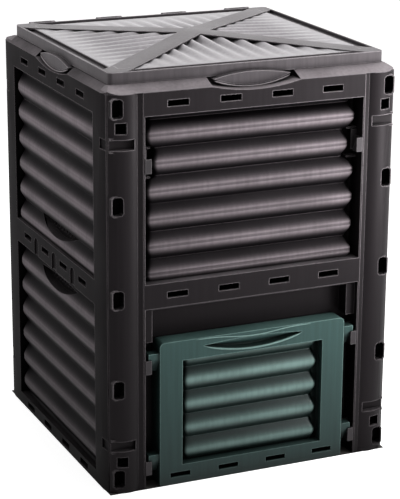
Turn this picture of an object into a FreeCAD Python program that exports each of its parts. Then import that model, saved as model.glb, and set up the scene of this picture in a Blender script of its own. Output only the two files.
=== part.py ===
import FreeCAD
import Part
import math
import os
import re

# Garden compost bin: four plug-together walls, a hinged lid and a lift-out hatch.
# Millimetres. +Z is up, the hatch faces -Y, and the origin is on the ground under the middle.

SIZES = [
    ("body_width", 610, "outer width and depth of the four walls"),
    ("wall_height", 794, "ground to the outer edge of the sloping collar"),
    ("collar_rise", 12, "rise of the collar from its outer edge to the lid's ledge"),
    ("shell", 4, "moulded wall thickness of the end walls"),
    ("side_skin", 5, "thickness of the side walls' outer skin"),
    ("side_face", 0, "side wall's skin behind the bin's widest plane"),
    ("skin_inset", 15, "upright edges of the side wall's skin, from the corner"),
    ("body_corner", 30, "radius of the bin's upright corners"),
    ("end_depth", 50, "depth of the front and back walls"),
    ("side_depth", 40, "depth of the side walls"),
    ("face_step", 2, "frame face behind the column's crown"),
    ("column_width", 62, "corner column, outside to valley"),
    ("column_valley", 6, "depth of the valley beside the column"),
    ("column_shoulder", 14, "how far the column rolls back at the corner"),
    ("stile_wide", 14, "stile between a column's valley and an opening"),
    ("top_rail", 46, "height of the rail over the upper field"),
    ("upper_low", 421, "bottom of the upper field"),
    ("bay_top", 371, "top of the lower field and of the hatch bay"),
    ("lower_low", 25, "bottom of the closed lower fields"),
    ("pitch", 54.5, "height of one wave"),
    ("upper_crest", 435.5, "lowest crest of the upper fields"),
    ("lower_crest", 57.5, "lowest crest of the lower fields"),
    ("end_wave", 15, "crest to valley, front and back"),
    ("side_wave", 12, "crest to valley, sides"),
    ("end_setback", 16, "crest behind the front of the wall"),
    ("side_setback", 4, "crest behind the side of the wall"),
    ("end_gap", 7, "slot beside the waves, front and back"),
    ("sheet", 3.5, "thickness of the corrugated sheet"),
    ("slot_long", 43, "length of a ventilation slot"),
    ("slot_high", 12, "height of a ventilation slot"),
    ("slot_margin", 67, "outermost slots from the edge of the opening"),
    ("slot_drop", 24, "upper row of slots below the wall's top"),
    ("mid_slots", 396, "height of the middle row of slots"),
    ("low_slots", 12, "height of the lowest row of slots"),
    ("window_wide", 21, "corner window, width"),
    ("window_high", 36, "corner window, height"),
    ("window_round", 4, "cut-off corner of a window"),
    ("window_rim", 2.5, "width of the raised rim"),
    ("window_inset", 21, "window centre from the corner"),
    ("port_wide", 21, "square port in the column"),
    ("port_inset", 28, "port centre from the corner"),
    ("groove_high", 20, "height of the corner groove"),
    ("groove_deep", 12, "depth of the corner groove"),
    ("groove_long", 40, "length of the groove on the side wall"),
    ("hook_wide", 46, "height of a corner hook"),
    ("hook_long", 40, "reach of a corner hook"),
    ("hook_thick", 4, "thickness of a corner hook"),
    ("hook_play", 1, "clearance round a corner hook"),
    ("hatch_room", 29, "from the bay's sides to the hatch"),
    ("hatch_low", 2, "underside of the hatch above the ground"),
    ("hatch_top", 300, "top of the hatch"),
    ("hatch_depth", 38, "depth of the hatch"),
    ("hatch_round", 10, "radius of the hatch's upper corners"),
    ("hatch_wave", 12, "crest to valley, hatch"),
    ("hatch_setback", 9, "crest behind the hatch's face"),
    ("hatch_pitch", 49.5, "height of one wave, hatch"),
    ("hatch_crest", 63.5, "lowest crest of the hatch"),
    ("pane_frame", 48, "width of the hatch's frame beside its waves"),
    ("pane_low", 41, "bottom of the hatch's waves"),
    ("pane_top", 259, "top of the hatch's waves"),
    ("mouth_edge", 20, "hatch over the edge of the opening behind it"),
    ("mouth_low", 22, "bottom of the hatch opening"),
    ("mouth_top", 282, "top of the hatch opening"),
    ("grip_half", 108, "half length of the hatch's finger scoop"),
    ("grip_level", 283, "ends of the finger scoop"),
    ("grip_rise", 6, "scoop above its ends"),
    ("grip_drop", 17, "scoop below its ends"),
    ("grip_deep", 24, "depth of the finger scoop"),
    ("keeper_wide", 12.5, "keeper, out from the stile"),
    ("keeper_high", 28, "height of a keeper"),
    ("keeper_tip", 1.8, "thickness of a keeper's upper edge"),
    ("keeper_slope", 30, "lean of the keeper's ramp from upright, degrees"),
    ("low_keeper", 43, "height of the lower keepers"),
    ("high_keeper", 253, "height of the upper keepers"),
    ("spare_keeper", 653, "height of the keepers on the upper field"),
    ("lug_play", 0.5, "clearance in front of a lug"),
    ("lug_rise", 12, "lug above its keeper"),
    ("lid_inset", 17, "lid's side edges from the sides of the bin"),
    ("lid_inset_front", 34.5, "lid's front edge from the front of the bin"),
    ("lid_inset_back", 41, "lid's back edge from the back of the bin"),
    ("lid_play", 0.4, "clearance under the lid's skirt"),
    ("lid_skirt", 22, "height of the lid's skirt"),
    ("lid_shell", 3.5, "thickness of the lid"),
    ("lid_rise", 14, "rise of the lid to its middle"),
    ("lid_gutter", 25, "width of the gutter inside the rim"),
    ("gutter_drop", 7, "gutter below the rim"),
    ("lid_band", 48, "width of the lid's diagonal bands"),
    ("lid_pitch", 32.5, "width of one wave, lid"),
    ("lid_wave", 13, "crest to valley at the middle of the lid"),
    ("lid_round", 10, "corner radius of the lid"),
    ("tab_half", 81, "half length of the lid's grip tabs"),
    ("tab_lift", 9, "tab's ends above the wall's top"),
    ("tab_rise", 10, "tab above its ends"),
    ("tab_drop", 16, "tab below its ends"),
    ("tab_proud", 10, "tab in front of the skirt"),
    ("scoop_half", 92, "half length of the scoop in the collar"),
    ("scoop_drop", 11, "depth of the scoop's edge below the wall's top"),
    ("pin_radius", 4, "radius of a hinge pin"),
    ("pin_play", 0.06, "running clearance round a hinge pin"),
    ("pin_head", 6.5, "radius of a hinge pin's head"),
    ("barrel_radius", 10, "radius of a hinge barrel"),
    ("barrel_long", 38, "length of a hinge barrel"),
    ("ear_thick", 8, "thickness of a hinge ear"),
    ("ear_play", 0.5, "side clearance between barrel and ears"),
    ("axle_back", 11, "hinge axis behind the lid's back edge"),
    ("axle_rise", 13, "hinge axis above the collar's ledge"),
    ("outer_hinge", 80, "outer hinges from the sides of the bin"),
    ("rim_near", 3, "front of a window rim"),
    ("groove_inset", 7, "inner end of the corner groove, from the valley"),
    ("hook_near", 22, "corner hook behind the face"),
    ("inset_wide", 19, "width of the border above the hatch"),
    ("inset_high", 6, "height of the ledge over that border"),
    ("inset_low", 300, "foot of that border"),
    ("inset_near", 14, "depth of that border"),
    ("pocket_wide", 21, "width of the pocket round a spare keeper"),
    ("keeper_room", 27, "half height of that pocket"),
    ("keeper_web", 3.5, "thickness of a keeper's web"),
    ("leg_near", 26, "keeper's back leg behind the face"),
    ("lug_long", 22, "how far a lug stands out from the hatch"),
    ("vent_wave", 5, "waves from the lowest crest to the lower vent"),
    ("vent_half", 104, "half length of a crescent vent"),
    ("vent_high", 3, "vent above its ends"),
    ("vent_low", 22, "vent below its ends"),
    ("vent_deep", 24, "depth of a vent"),
    ("vent_slit", 6, "width of a slit in a vent"),
    ("vent_step", 16, "distance between slits"),
    ("arch_wide", 25, "width of the arched recesses in the side rail"),
    ("pane_deep", 25, "depth of the rim round the hatch's waves"),
    ("hatch_slots", 21, "height of the hatch's slots"),
    ("hatch_slot_high", 10, "height of one of them"),
    ("hatch_slot_margin", 44, "outermost of them from the hatch's edge"),
    ("lid_ledge", 2, "collar's ledge outside the lid"),
    ("ledge_wide", 9, "collar's ledge under the lid"),
    ("field_sheet", 2.5, "thickness of the lid's waves"),
    ("field_tuck", 6, "lid's waves under the bands"),
    ("band_proud", 1.5, "bands above the crests, and above the curb"),
    ("band_flat", 12, "half width of the flat top where the bands cross"),
    ("pin_cap", 3, "thickness of a hinge pin's head"),
]

WINDOW_HEIGHTS = (30, 215, 397, 581, 767)
PORT_HEIGHTS = (65, 730)
GROOVE_HEIGHTS = (98, 698)
INNER_FLAT = 0.09
VALLEY_FLAT = 0.1
CREST_FLAT = 0.1
BAND_REACH = 1.2

# Sizes of what fits between, on or under other pieces, from theirs and the clearances above.
FITTED = [
    ("opening_half", "=body_width / 2 - column_width - stile_wide", "half width of the fields and the bay"),
    ("slot_step", "=(opening_half - slot_margin) * 2 / 3", "distance between slots"),
    ("upper_top", "=wall_height - top_rail", "top of the upper field"),
    ("top_slots", "=wall_height - slot_drop", "height of the upper row of slots"),
    ("collar_height", "=wall_height + collar_rise", "ground to the ledge that the lid sits on"),
    ("scoop_low", "=wall_height - scoop_drop", "lowest point of the scoop's edge"),
    ("tab_level", "=wall_height + tab_lift", "height of the tab's ends"),
    ("hatch_half", "=opening_half - hatch_room", "half width of the hatch"),
    ("hatch_slot_step", "=(hatch_half - hatch_slot_margin) * 2 / 3", "distance between the hatch's slots"),
    ("pane_half", "=hatch_half - pane_frame", "half width of the hatch's waves"),
    ("mouth_half", "=hatch_half - mouth_edge", "half width of the hatch opening"),
    ("lid_half", "=body_width / 2 - lid_inset", "half width of the lid"),
    ("lid_front", "=body_width / 2 - lid_inset_front", "lid's front edge from the middle"),
    ("lid_back", "=body_width / 2 - lid_inset_back", "lid's back edge from the middle"),
    ("axle_y", "=lid_back + axle_back", "hinge axis behind the middle"),
    ("axle_z", "=collar_height + axle_rise", "hinge axis above the ground"),
]

doc = FreeCAD.newDocument("compost_bin")
sheet = doc.addObject("Spreadsheet::Sheet", "Sizes")
for row, (alias, value, meaning) in enumerate(SIZES + FITTED, 1):
    sheet.set(f"A{row}", meaning)
    sheet.set(f"B{row}", str(value))
    sheet.setAlias(f"B{row}", alias)
doc.recompute()
ALIASES = {alias for alias, value, meaning in SIZES + FITTED}
size = {alias: float(sheet.get(alias)) for alias in ALIASES}


def linked(text):
    """The expression with every size's name tied to its cell in the sheet."""
    return re.sub(r"[a-z_]+", lambda m: "Sizes." + m.group() if m.group() in ALIASES else m.group(), text)


def placed(thing, at):
    for axis, text in zip("xyz", at):
        thing.setExpression(f".Placement.Base.{axis}", linked(text))
    return thing


def block(name, left, right, front, back, low, high):
    """Box between six planes, each given as an expression."""
    box = doc.addObject("Part::Box", name)
    for side, first, last in (("Length", left, right), ("Width", front, back), ("Height", low, high)):
        box.setExpression(side, linked(f"({last}) - ({first})"))
    return placed(box, (left, front, low))


def rod(name, left, right, radius):
    """Round bar on the hinge axis, between two planes across X."""
    bar = doc.addObject("Part::Cylinder", name)
    bar.setExpression("Radius", linked(radius))
    bar.setExpression("Height", linked(f"({right}) - ({left})"))
    bar.Placement.Rotation = FreeCAD.Rotation(FreeCAD.Vector(0, 1, 0), 90)
    return placed(bar, (left, "axle_y", "axle_z"))


def fused(name, parts):
    union = doc.addObject("Part::MultiFuse", name)
    union.Shapes = parts
    union.Refine = True
    return union


def without(name, base, tools):
    """The base with every tool cut away."""
    cutter = tools[0] if len(tools) == 1 else fused(name + "_tools", tools)
    cut = doc.addObject("Part::Cut", name)
    cut.Base = base
    cut.Tool = cutter
    return cut


def shared(name, first, second):
    common = doc.addObject("Part::MultiCommon", name)
    common.Shapes = [first, second]
    return common


def turned(name, source, angle):
    """A copy of the source, turned about the bin's upright axis."""
    copy = doc.addObject("Part::Compound", name)
    copy.Links = [source]
    copy.Placement.Rotation = FreeCAD.Rotation(FreeCAD.Vector(0, 0, 1), angle)
    return copy


def mirrored(name, source, normal):
    twin = doc.addObject("Part::Mirroring", name)
    twin.Source = source
    twin.Normal = FreeCAD.Vector(*normal)
    return twin


def rectangle(left, right, low, high):
    return [((left, low), (right, low)), ((right, low), (right, high)),
            ((right, high), (left, high)), ((left, high), (left, low))]


def polygon(points):
    return [(points[i], points[(i + 1) % len(points)]) for i in range(len(points))]


def rounded(left, right, low, high, low_radius, high_radius):
    """Rectangle with round corners; a stretch of three points is an arc through them."""
    loop = []
    corners = [((left, low), (1, 1), low_radius), ((right, low), (-1, 1), low_radius),
               ((right, high), (-1, -1), high_radius), ((left, high), (1, -1), high_radius)]
    ends = []
    for i, ((u, v), (du, dv), radius) in enumerate(corners):
        upright = (u, v + dv * radius)
        level = (u + du * radius, v)
        bend = radius * (1 - math.sqrt(0.5))
        middle = (u + du * bend, v + dv * bend)
        ends.append((upright, middle, level) if i % 2 == 0 else (level, middle, upright))
    for i, (start, middle, end) in enumerate(ends):
        if start != end:
            loop.append((start, middle, end))
        after = ends[(i + 1) % 4][0]
        loop.append((end, after))
    return loop


def nipped(left, right, low, high, corner):
    """Rectangle with its corners cut off at 45 degrees."""
    return polygon([(left + corner, low), (right - corner, low), (right, low + corner),
                    (right, high - corner), (right - corner, high), (left + corner, high),
                    (left, high - corner), (left, low + corner)])


def lens(middle, level, half, rise, drop):
    """Two arcs between the same two ends, one above and one below."""
    left = (middle - half, level)
    right = (middle + half, level)
    return [(left, (middle, level - drop), right), (right, (middle, level + rise), left)]


def corrugation(face, wave, pitch, first, low, high, thick):
    """Section of a corrugated sheet: depth inward, height up, crests at first + n pitches.

    Each crest is an arc over half a pitch. Tangent runs lead from it down to a flat valley. The
    hidden inner face is moulded in straight runs: a short flat behind each crest and valley, and
    a slope between them.
    """
    radius = ((pitch / 4) ** 2 + (wave / 2) ** 2) / wave
    lean = math.asin(pitch / 4 / radius)
    floor = pitch / 4 - wave / 2 / math.tan(lean)
    flat = pitch * INNER_FLAT
    start = first - math.ceil((first - low) / pitch + 1) * pitch
    outer = []
    inner = []
    for n in range(math.ceil((high - start) / pitch) + 1):
        crest = start + n * pitch
        bottom = max(crest - pitch / 4, low)
        top = min(crest + pitch / 4, high)
        if top > bottom:
            outer.append(tuple((face + radius - math.sqrt(radius ** 2 - (height - crest) ** 2), height)
                               for height in (bottom, (bottom + top) / 2, top)))
        valley = clipped([(face + wave / 2, crest + pitch / 4), (face + wave, crest + pitch / 2 - floor),
                          (face + wave, crest + pitch / 2 + floor), (face + wave / 2, crest + 3 * pitch / 4)],
                         low, high)
        outer += list(zip(valley, valley[1:]))
        inner += [(face + thick, crest - flat), (face + thick, crest + flat),
                  (face + thick + wave, crest + pitch / 2 - flat), (face + thick + wave, crest + pitch / 2 + flat)]
    inner = clipped(inner, low, high)[::-1]
    return outer + [(outer[-1][-1], inner[0])] + list(zip(inner, inner[1:])) + [(inner[-1], outer[0][0])]


def clipped(points, low, high):
    """The part of an upward polyline between two heights, with new points where it crosses them."""
    kept = [points[0]] if low <= points[0][1] <= high else []
    for (u1, v1), (u2, v2) in zip(points, points[1:]):
        for level in (low, high):
            if v1 < level < v2:
                kept.append((u1 + (u2 - u1) * (level - v1) / (v2 - v1), level))
        if low <= v2 <= high:
            kept.append((u2, v2))
    return kept


def backed(loop, back):
    """The corrugation's outer face, closed by a flat back at the given depth."""
    low = loop[0][0][1]
    high = max(piece[-1][1] for piece in loop)
    count = next(i for i, piece in enumerate(loop) if abs(piece[-1][1] - high) < 1e-6) + 1
    outer = loop[:count]
    return outer + [(outer[-1][-1], (back, high)), ((back, high), (back, low)), ((back, low), outer[0][0])]


def edge(piece):
    """Sketch line, or arc through three points."""
    points = [FreeCAD.Vector(u, v, 0) for u, v in piece]
    if len(points) == 2:
        return Part.LineSegment(points[0], points[1])
    return Part.Arc(points[0], points[1], points[2])


def pad(name, plane, loops, first, last):
    """PartDesign body: these loops sketched on an origin plane and padded from first to last.

    A sketch on XZ is padded towards -Y, so that body is placed at its last plane.
    """
    body = doc.addObject("PartDesign::Body", name)
    sketch = body.newObject("Sketcher::SketchObject", name + "_sketch")
    origin = [f for f in body.Origin.OriginFeatures if f.Role == plane + "_Plane"][0]
    sketch.AttachmentSupport = (origin, [""])
    sketch.MapMode = "FlatFace"
    sketch.addGeometry([edge(piece) for loop in loops for piece in loop], False)
    feature = body.newObject("PartDesign::Pad", name + "_pad")
    feature.Profile = sketch
    feature.setExpression("Length", linked(f"({last}) - ({first})"))
    axis = {"XY": "z", "XZ": "y", "YZ": "x"}[plane]
    body.setExpression(f".Placement.Base.{axis}", linked(last if plane == "XZ" else first))
    return body


HALF = size["body_width"] / 2
OPEN = size["opening_half"]
SHELL = size["shell"]
TOP = size["wall_height"]
SLOT_PLACES = [(n - 1.5) * size["slot_step"] for n in range(4)]
KEEPER_TAN = math.tan(math.radians(size["keeper_slope"]))
KEEPER_NAMES = {"low": "lower", "high": "upper", "spare": "spare"}
HINGE_SHARES = ("-1", "-1 / 3", "1 / 3", "1")
HINGE_PLACES = [f"{share} * (body_width / 2 - outer_hinge)" for share in HINGE_SHARES]


def behind(depth):
    """Place on the Y axis that is this far behind the front of the bin."""
    return f"-(body_width / 2 - ({depth}))"


def facing(name, loops, near, far):
    """Padded body whose sketch is seen from the front, from one depth to another."""
    return pad(name, "XZ", loops, behind(near), behind(far))


def across(name, loop, left, right):
    """Padded body with its sketch in depth and height, from left to right."""
    return pad(name, "YZ", [[tuple((u - HALF, v) for u, v in piece) for piece in loop]], left, right)


def slab(name, left, right, near, far, low, high):
    return block(name, left, right, behind(near), behind(far), low, high)


def slot_row(height, half_long=size["slot_long"] / 2, half_high=size["slot_high"] / 2, places=SLOT_PLACES):
    return [rectangle(x - half_long, x + half_long, height - half_high, height + half_high) for x in places]


def wall_top(half_width, has_scoop):
    """Right-to-left run of a wall's top edge, which dips in an arc under the lid's grip tab."""
    dip = size["scoop_half"]
    if not has_scoop:
        return [((half_width, TOP), (-half_width, TOP))]
    return [((half_width, TOP), (dip, TOP)), ((dip, TOP), (0, size["scoop_low"]), (-dip, TOP)),
            ((-dip, TOP), (-half_width, TOP))]


def panel_outline(half_width, has_scoop):
    return ([((-half_width, 0), (half_width, 0)), ((half_width, 0), (half_width, TOP))]
            + wall_top(half_width, has_scoop) + [((-half_width, TOP), (-half_width, 0))])


def pyramid(name, low_half, low_front, low_back, high_half, high_front, high_back, low, high):
    """Truncated pyramid on a rectangle; the front and back distances are from the middle."""
    shape = doc.addObject("Part::Wedge", name)
    bounds = {"Xmin": f"-({low_half})", "Xmax": low_half, "Zmin": f"-({low_back})", "Zmax": low_front,
              "X2min": f"-({high_half})", "X2max": high_half, "Z2min": f"-({high_back})",
              "Z2max": high_front, "Ymin": low, "Ymax": high}
    for key, text in bounds.items():
        shape.setExpression(key, linked(text))
    shape.Placement.Rotation = FreeCAD.Rotation(FreeCAD.Vector(1, 0, 0), 90)
    return shape


def lowered(name, source, drop):
    copy = doc.addObject("Part::Compound", name)
    copy.Links = [source]
    copy.setExpression(".Placement.Base.z", linked(f"-({drop})"))
    return copy


# The collar is one sloping ring under the lid. The four walls share it out between them.
LEDGE_SIDE = "lid_half - ledge_wide"
LEDGE_FRONT = "lid_front - ledge_wide"
LEDGE_BACK = "lid_back - ledge_wide"
collar_skin = pyramid(
    "collar_skin", "body_width / 2", "body_width / 2 - face_step", "body_width / 2 - face_step",
    "lid_half + lid_ledge", "lid_front + lid_ledge", "lid_back + lid_ledge", "wall_height", "collar_height")
collar_hole = block("collar_hole", f"-({LEDGE_SIDE})", LEDGE_SIDE, f"-({LEDGE_FRONT})", LEDGE_BACK,
                    "wall_height / 2", "2 * wall_height")


def corner_cut(name, way_x, way_y):
    """What lies outside the rounded corner of the collar, which is moulded in four facets."""
    radius = size["body_corner"]
    reach_x, reach_y = HALF, HALF - size["face_step"]
    points = [(reach_x - radius * (1 - math.cos(math.radians(22.5 * n))),
               reach_y - radius * (1 - math.sin(math.radians(22.5 * n)))) for n in range(5)]
    points += [(reach_x - radius, HALF + 3), (HALF + 3, HALF + 3), (HALF + 3, reach_y - radius)]
    return pad(name, "XY", [polygon([(way_x * x, way_y * y) for x, y in points])], "bay_top", "2 * wall_height")


collar_ring = without(
    "collar_ring", collar_skin,
    [lowered("collar_under", collar_skin, "shell"), collar_hole,
     corner_cut("corner_front_left", -1, -1), corner_cut("corner_front_right", 1, -1),
     corner_cut("corner_back_left", -1, 1), corner_cut("corner_back_right", 1, 1)])


def collar_share(name, left, right, front, back):
    return shared(name, collar_ring,
                  block(name + "_share", left, right, front, back, "bay_top", "2 * wall_height"))


def reveal(name, low, high, near, far):
    """Ring of four walls that runs inward from the edges of an opening."""
    outer = rectangle(-OPEN - SHELL, OPEN + SHELL, size[low] - SHELL, size[high] + SHELL)
    inner = rectangle(-OPEN, OPEN, size[low], size[high])
    return facing(name, [outer, inner], near, far)


def wave_section(setback, wave, pitch, crest, low, high):
    """Section of a corrugated sheet that reaches half a wall's thickness into what holds it."""
    return corrugation(size[setback], size[wave], size[pitch], size[crest], size[low] - SHELL / 2,
                       size[high] + SHELL / 2, size["sheet"])


def side_field(name, crest, low, high):
    """Corrugated field that reaches the ring of walls that holds it."""
    section = wave_section("side_setback", "side_wave", "pitch", crest, low, high)
    return [reveal(name + "_reveal", low, high, "0", "side_depth"),
            across(name + "_sheet", section, "-(opening_half + shell / 2)", "opening_half + shell / 2")]


def end_field(name, crest, low, high):
    """Corrugated field with closed ends, slots beside them, and the ring that holds it."""
    section = wave_section("end_setback", "end_wave", "pitch", crest, low, high)
    closed = backed(section, size["end_depth"])
    side = "opening_half - end_gap"
    near = "end_depth - shell"
    return [
        reveal(name + "_reveal", low, high, "face_step", "end_depth"),
        across(name + "_sheet", section, f"-({side})", side),
        across(name + "_end_left", closed, f"-({side})", f"-({side} - shell)"),
        across(name + "_end_right", closed, f"{side} - shell", side),
        slab(name + "_flange_left", "-opening_half", f"-({side} - shell)", near, "end_depth", low, high),
        slab(name + "_flange_right", f"{side} - shell", "opening_half", near, "end_depth", low, high),
    ]


def scoop(name, near, run, ledge):
    """Hollow under the lid's tab: curved floor, back wall and cheeks, and the space to be cut clear.

    The collar rises from the face over the given run and then is level as far as its inner edge.
    """
    dip = size["scoop_half"]
    low = size["scoop_low"]
    level = size["collar_height"]
    arc = ((-dip, TOP), (0, low), (dip, TOP))
    under = ((dip, TOP - SHELL), (0, low - SHELL), (-dip, TOP - SHELL))
    floor = [arc, ((dip, TOP), (dip, TOP - SHELL)), under, ((-dip, TOP - SHELL), (-dip, TOP))]
    back = [arc] + polygon([(dip, TOP), (dip, level), (-dip, level), (-dip, TOP)])[:3]
    space = [arc] + polygon([(dip, TOP), (dip, level + SHELL), (-dip, level + SHELL), (-dip, TOP)])[:3]
    far = f"body_width / 2 - ({ledge})"
    slope = HALF - size[run] - size["lid_ledge"]
    inner = HALF - size[run] + size["ledge_wide"]
    face = size[near]
    cheek = polygon([(face, TOP - 2 * SHELL), (inner, TOP - 2 * SHELL), (inner, level), (slope, level),
                     (face, TOP)])
    solids = [facing(name + "_floor", [floor], near, far),
              facing(name + "_back", [back], f"{far} - shell", far),
              across(name + "_cheek_left", cheek, "-(scoop_half + shell)", "-scoop_half"),
              across(name + "_cheek_right", cheek, "scoop_half", "scoop_half + shell")]
    return solids, [facing(name + "_space", [space], "-shell", f"{far} - shell")]


def column(name, way):
    """Corner column and stile: a channel with a crowned face, open towards the inside of the bin."""
    corner = HALF - size["side_skin"]
    valley = HALF - size["column_width"]
    crown = (corner + valley) / 2
    deep = size["end_depth"]
    shoulder = size["column_shoulder"]
    dip = size["column_valley"]
    step = size["face_step"]
    face = [((OPEN, deep), (OPEN, step)), ((OPEN, step), (valley, dip)),
            ((valley, dip), (crown, 0), (corner, shoulder)), ((corner, shoulder), (corner, deep))]
    back = [((corner, deep), (corner - SHELL, deep)),
            ((corner - SHELL, deep), (corner - SHELL, shoulder + SHELL / 2)),
            ((corner - SHELL, shoulder + SHELL / 2), (crown, SHELL)),
            ((crown, SHELL), (valley + SHELL, dip + SHELL)),
            ((valley + SHELL, dip + SHELL), (OPEN + SHELL, step + SHELL)),
            ((OPEN + SHELL, step + SHELL), (OPEN + SHELL, deep)), ((OPEN + SHELL, deep), (OPEN, deep))]
    loop = [tuple((way * x, depth - HALF) for x, depth in piece) for piece in face + back]
    return pad(name, "XY", [loop], "0", "wall_height")


def column_details(name, way):
    """Ribs, window rims and groove blocks of one corner column, and what is cut out of them."""
    def run(near_middle, near_corner):
        return (near_middle, near_corner) if way > 0 else (f"-({near_corner})", f"-({near_middle})")

    solids = []
    cuts = []
    middle = way * (HALF - size["window_inset"])
    half_wide = size["window_wide"] / 2
    half_high = size["window_high"] / 2
    rim = size["window_rim"]
    bend = size["window_round"]
    rims = []
    windows = []
    for z in WINDOW_HEIGHTS:
        low = max(z - half_high - rim, 1)
        rims.append(nipped(middle - half_wide - rim, middle + half_wide + rim, low, z + half_high + rim,
                           bend + rim / 2))
        rims.append(nipped(middle - half_wide, middle + half_wide, z - half_high, z + half_high, bend))
        windows.append(rims[-1])
    solids.append(facing(name + "_rims", rims, "rim_near", "column_shoulder + shell"))
    port = size["port_wide"] / 2
    port_middle = way * (HALF - size["port_inset"])
    windows += [rectangle(port_middle - port, port_middle + port, z - port, z + port) for z in PORT_HEIGHTS]
    cuts.append(facing(name + "_openings", windows, "-1", "column_shoulder + shell + 1"))
    left, right = run("body_width / 2 - column_width + groove_inset - shell",
                      "body_width / 2 - side_skin - shell / 2")
    cut_left, cut_right = run("body_width / 2 - column_width + groove_inset", "body_width / 2")
    for i, height in enumerate(GROOVE_HEIGHTS):
        solids.append(slab(f"{name}_groove_back_{i}", left, right, "column_valley", "groove_deep + shell",
                           f"{height} - groove_high / 2 - shell", f"{height} + groove_high / 2 + shell"))
        cuts.append(slab(f"{name}_groove_{i}", cut_left, cut_right, "-1", "groove_deep",
                         f"{height} - groove_high / 2", f"{height} + groove_high / 2"))
    left, right = run("body_width / 2 - side_skin - shell - 1", "body_width / 2")
    for i, height in enumerate(WINDOW_HEIGHTS):
        cuts.append(slab(f"{name}_hook_slot_{i}", left, right, "hook_near - hook_play",
                         "hook_near + hook_thick + hook_play", f"{height} - hook_wide / 2 - hook_play",
                         f"{height} + hook_wide / 2 + hook_play"))
    return solids, cuts


def end_wall(name, is_front):
    """Front or back wall: two corner columns and a frame round its corrugated fields."""
    solids = []
    cuts = []
    for side, way in (("left", -1), ("right", 1)):
        solids.append(column(f"{name}_column_{side}", way))
        more, openings = column_details(f"{name}_{side}", way)
        solids += more
        cuts += openings
    half = OPEN + SHELL
    outline = panel_outline(half, is_front)
    holes = [rectangle(-OPEN, OPEN, size["upper_low"], size["upper_top"])]
    holes += slot_row(size["top_slots"]) + slot_row(size["mid_slots"])
    if is_front:
        bay = size["bay_top"]
        foot = polygon([(-half, 0), (-OPEN, 0), (-OPEN, bay), (OPEN, bay), (OPEN, 0), (half, 0)])
        outline = foot[:5] + outline[1:]
    else:
        holes += [rectangle(-OPEN, OPEN, size["lower_low"], size["bay_top"])] + slot_row(size["low_slots"])
        solids += end_field(name + "_lower", "lower_crest", "lower_low", "bay_top")
    solids.append(facing(name + "_frame", [outline] + holes, "face_step", "face_step + shell"))
    solids += end_field(name + "_upper", "upper_crest", "upper_low", "upper_top")
    return solids, cuts


def hatch_bay():
    """Recess behind the hatch: reveal, back plate with the hatch opening, foot and upper inset."""
    bay = size["bay_top"]
    half = OPEN + SHELL
    frame = polygon([(-half, 0), (-OPEN, 0), (-OPEN, bay), (OPEN, bay), (OPEN, 0), (half, 0),
                     (half, bay + SHELL), (-half, bay + SHELL)])
    plate = rectangle(-OPEN - SHELL / 2, OPEN + SHELL / 2, 0, bay + SHELL / 2)
    mouth = rounded(-size["mouth_half"], size["mouth_half"], size["mouth_low"], size["mouth_top"],
                    size["hatch_round"], size["hatch_round"])
    inset_half = OPEN - size["inset_wide"]
    low = size["inset_low"]
    lid = bay - size["inset_high"]
    inset = polygon([(-OPEN - SHELL / 2, low), (-inset_half, low), (-inset_half, lid), (inset_half, lid),
                     (inset_half, low), (OPEN + SHELL / 2, low), (OPEN + SHELL / 2, bay + SHELL / 2),
                     (-OPEN - SHELL / 2, bay + SHELL / 2)])
    walls = polygon([(-inset_half - SHELL, low), (-inset_half, low), (-inset_half, lid), (inset_half, lid),
                     (inset_half, low), (inset_half + SHELL, low), (inset_half + SHELL, lid + SHELL),
                     (-inset_half - SHELL, lid + SHELL)])
    return [
        facing("bay_reveal", [frame], "face_step", "end_depth"),
        facing("bay_plate", [plate, mouth], "end_depth - shell - 2", "end_depth - 2"),
        facing("bay_inset", [inset], "inset_near", "inset_near + shell"),
        facing("bay_inset_walls", [walls], "inset_near", "end_depth - 3"),
        slab("bay_foot", "-opening_half - 1", "opening_half + 1", "hatch_depth + 2", "end_depth", "0",
             "shell + 1"),
    ]


def spare_pockets():
    """Pockets in the upper field's slots that hold the keepers of the hatch's upper hanging place."""
    room = size["keeper_room"]
    section = corrugation(size["end_setback"], size["end_wave"], size["pitch"], size["upper_crest"],
                          size["spare_keeper"] - room - SHELL / 2, size["spare_keeper"] + room + SHELL / 2,
                          size["sheet"])
    closed = backed(section, size["end_depth"] - 1)
    solids = []
    cuts = []
    rear = "end_depth - shell"
    for side, edge_out, edge_in in (("left", "-opening_half", "-(opening_half - pocket_wide)"),
                                    ("right", "opening_half", "opening_half - pocket_wide")):
        left, right = (edge_out, edge_in) if side == "left" else (edge_in, edge_out)
        first, last = (right, f"{right} + shell") if side == "left" else (f"{left} - shell", left)
        for level, low, high in (("under", "spare_keeper - keeper_room - shell", "spare_keeper - keeper_room"),
                                 ("over", "spare_keeper + keeper_room", "spare_keeper + keeper_room + shell")):
            solids.append(slab(f"pocket_{level}_{side}", left, right, "end_setback + end_wave - shell / 2",
                               "end_depth", low, high))
        solids.append(across(f"pocket_end_{side}", closed, first, last))
        solids.append(slab(f"pocket_back_{side}", left, right, rear, "end_depth",
                           "spare_keeper - keeper_room - shell", "spare_keeper + keeper_room + shell"))
        cuts.append(slab(f"pocket_space_{side}", left, right, "face_step + 1", rear,
                         "spare_keeper - keeper_room", "spare_keeper + keeper_room"))
    return solids, cuts


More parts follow.
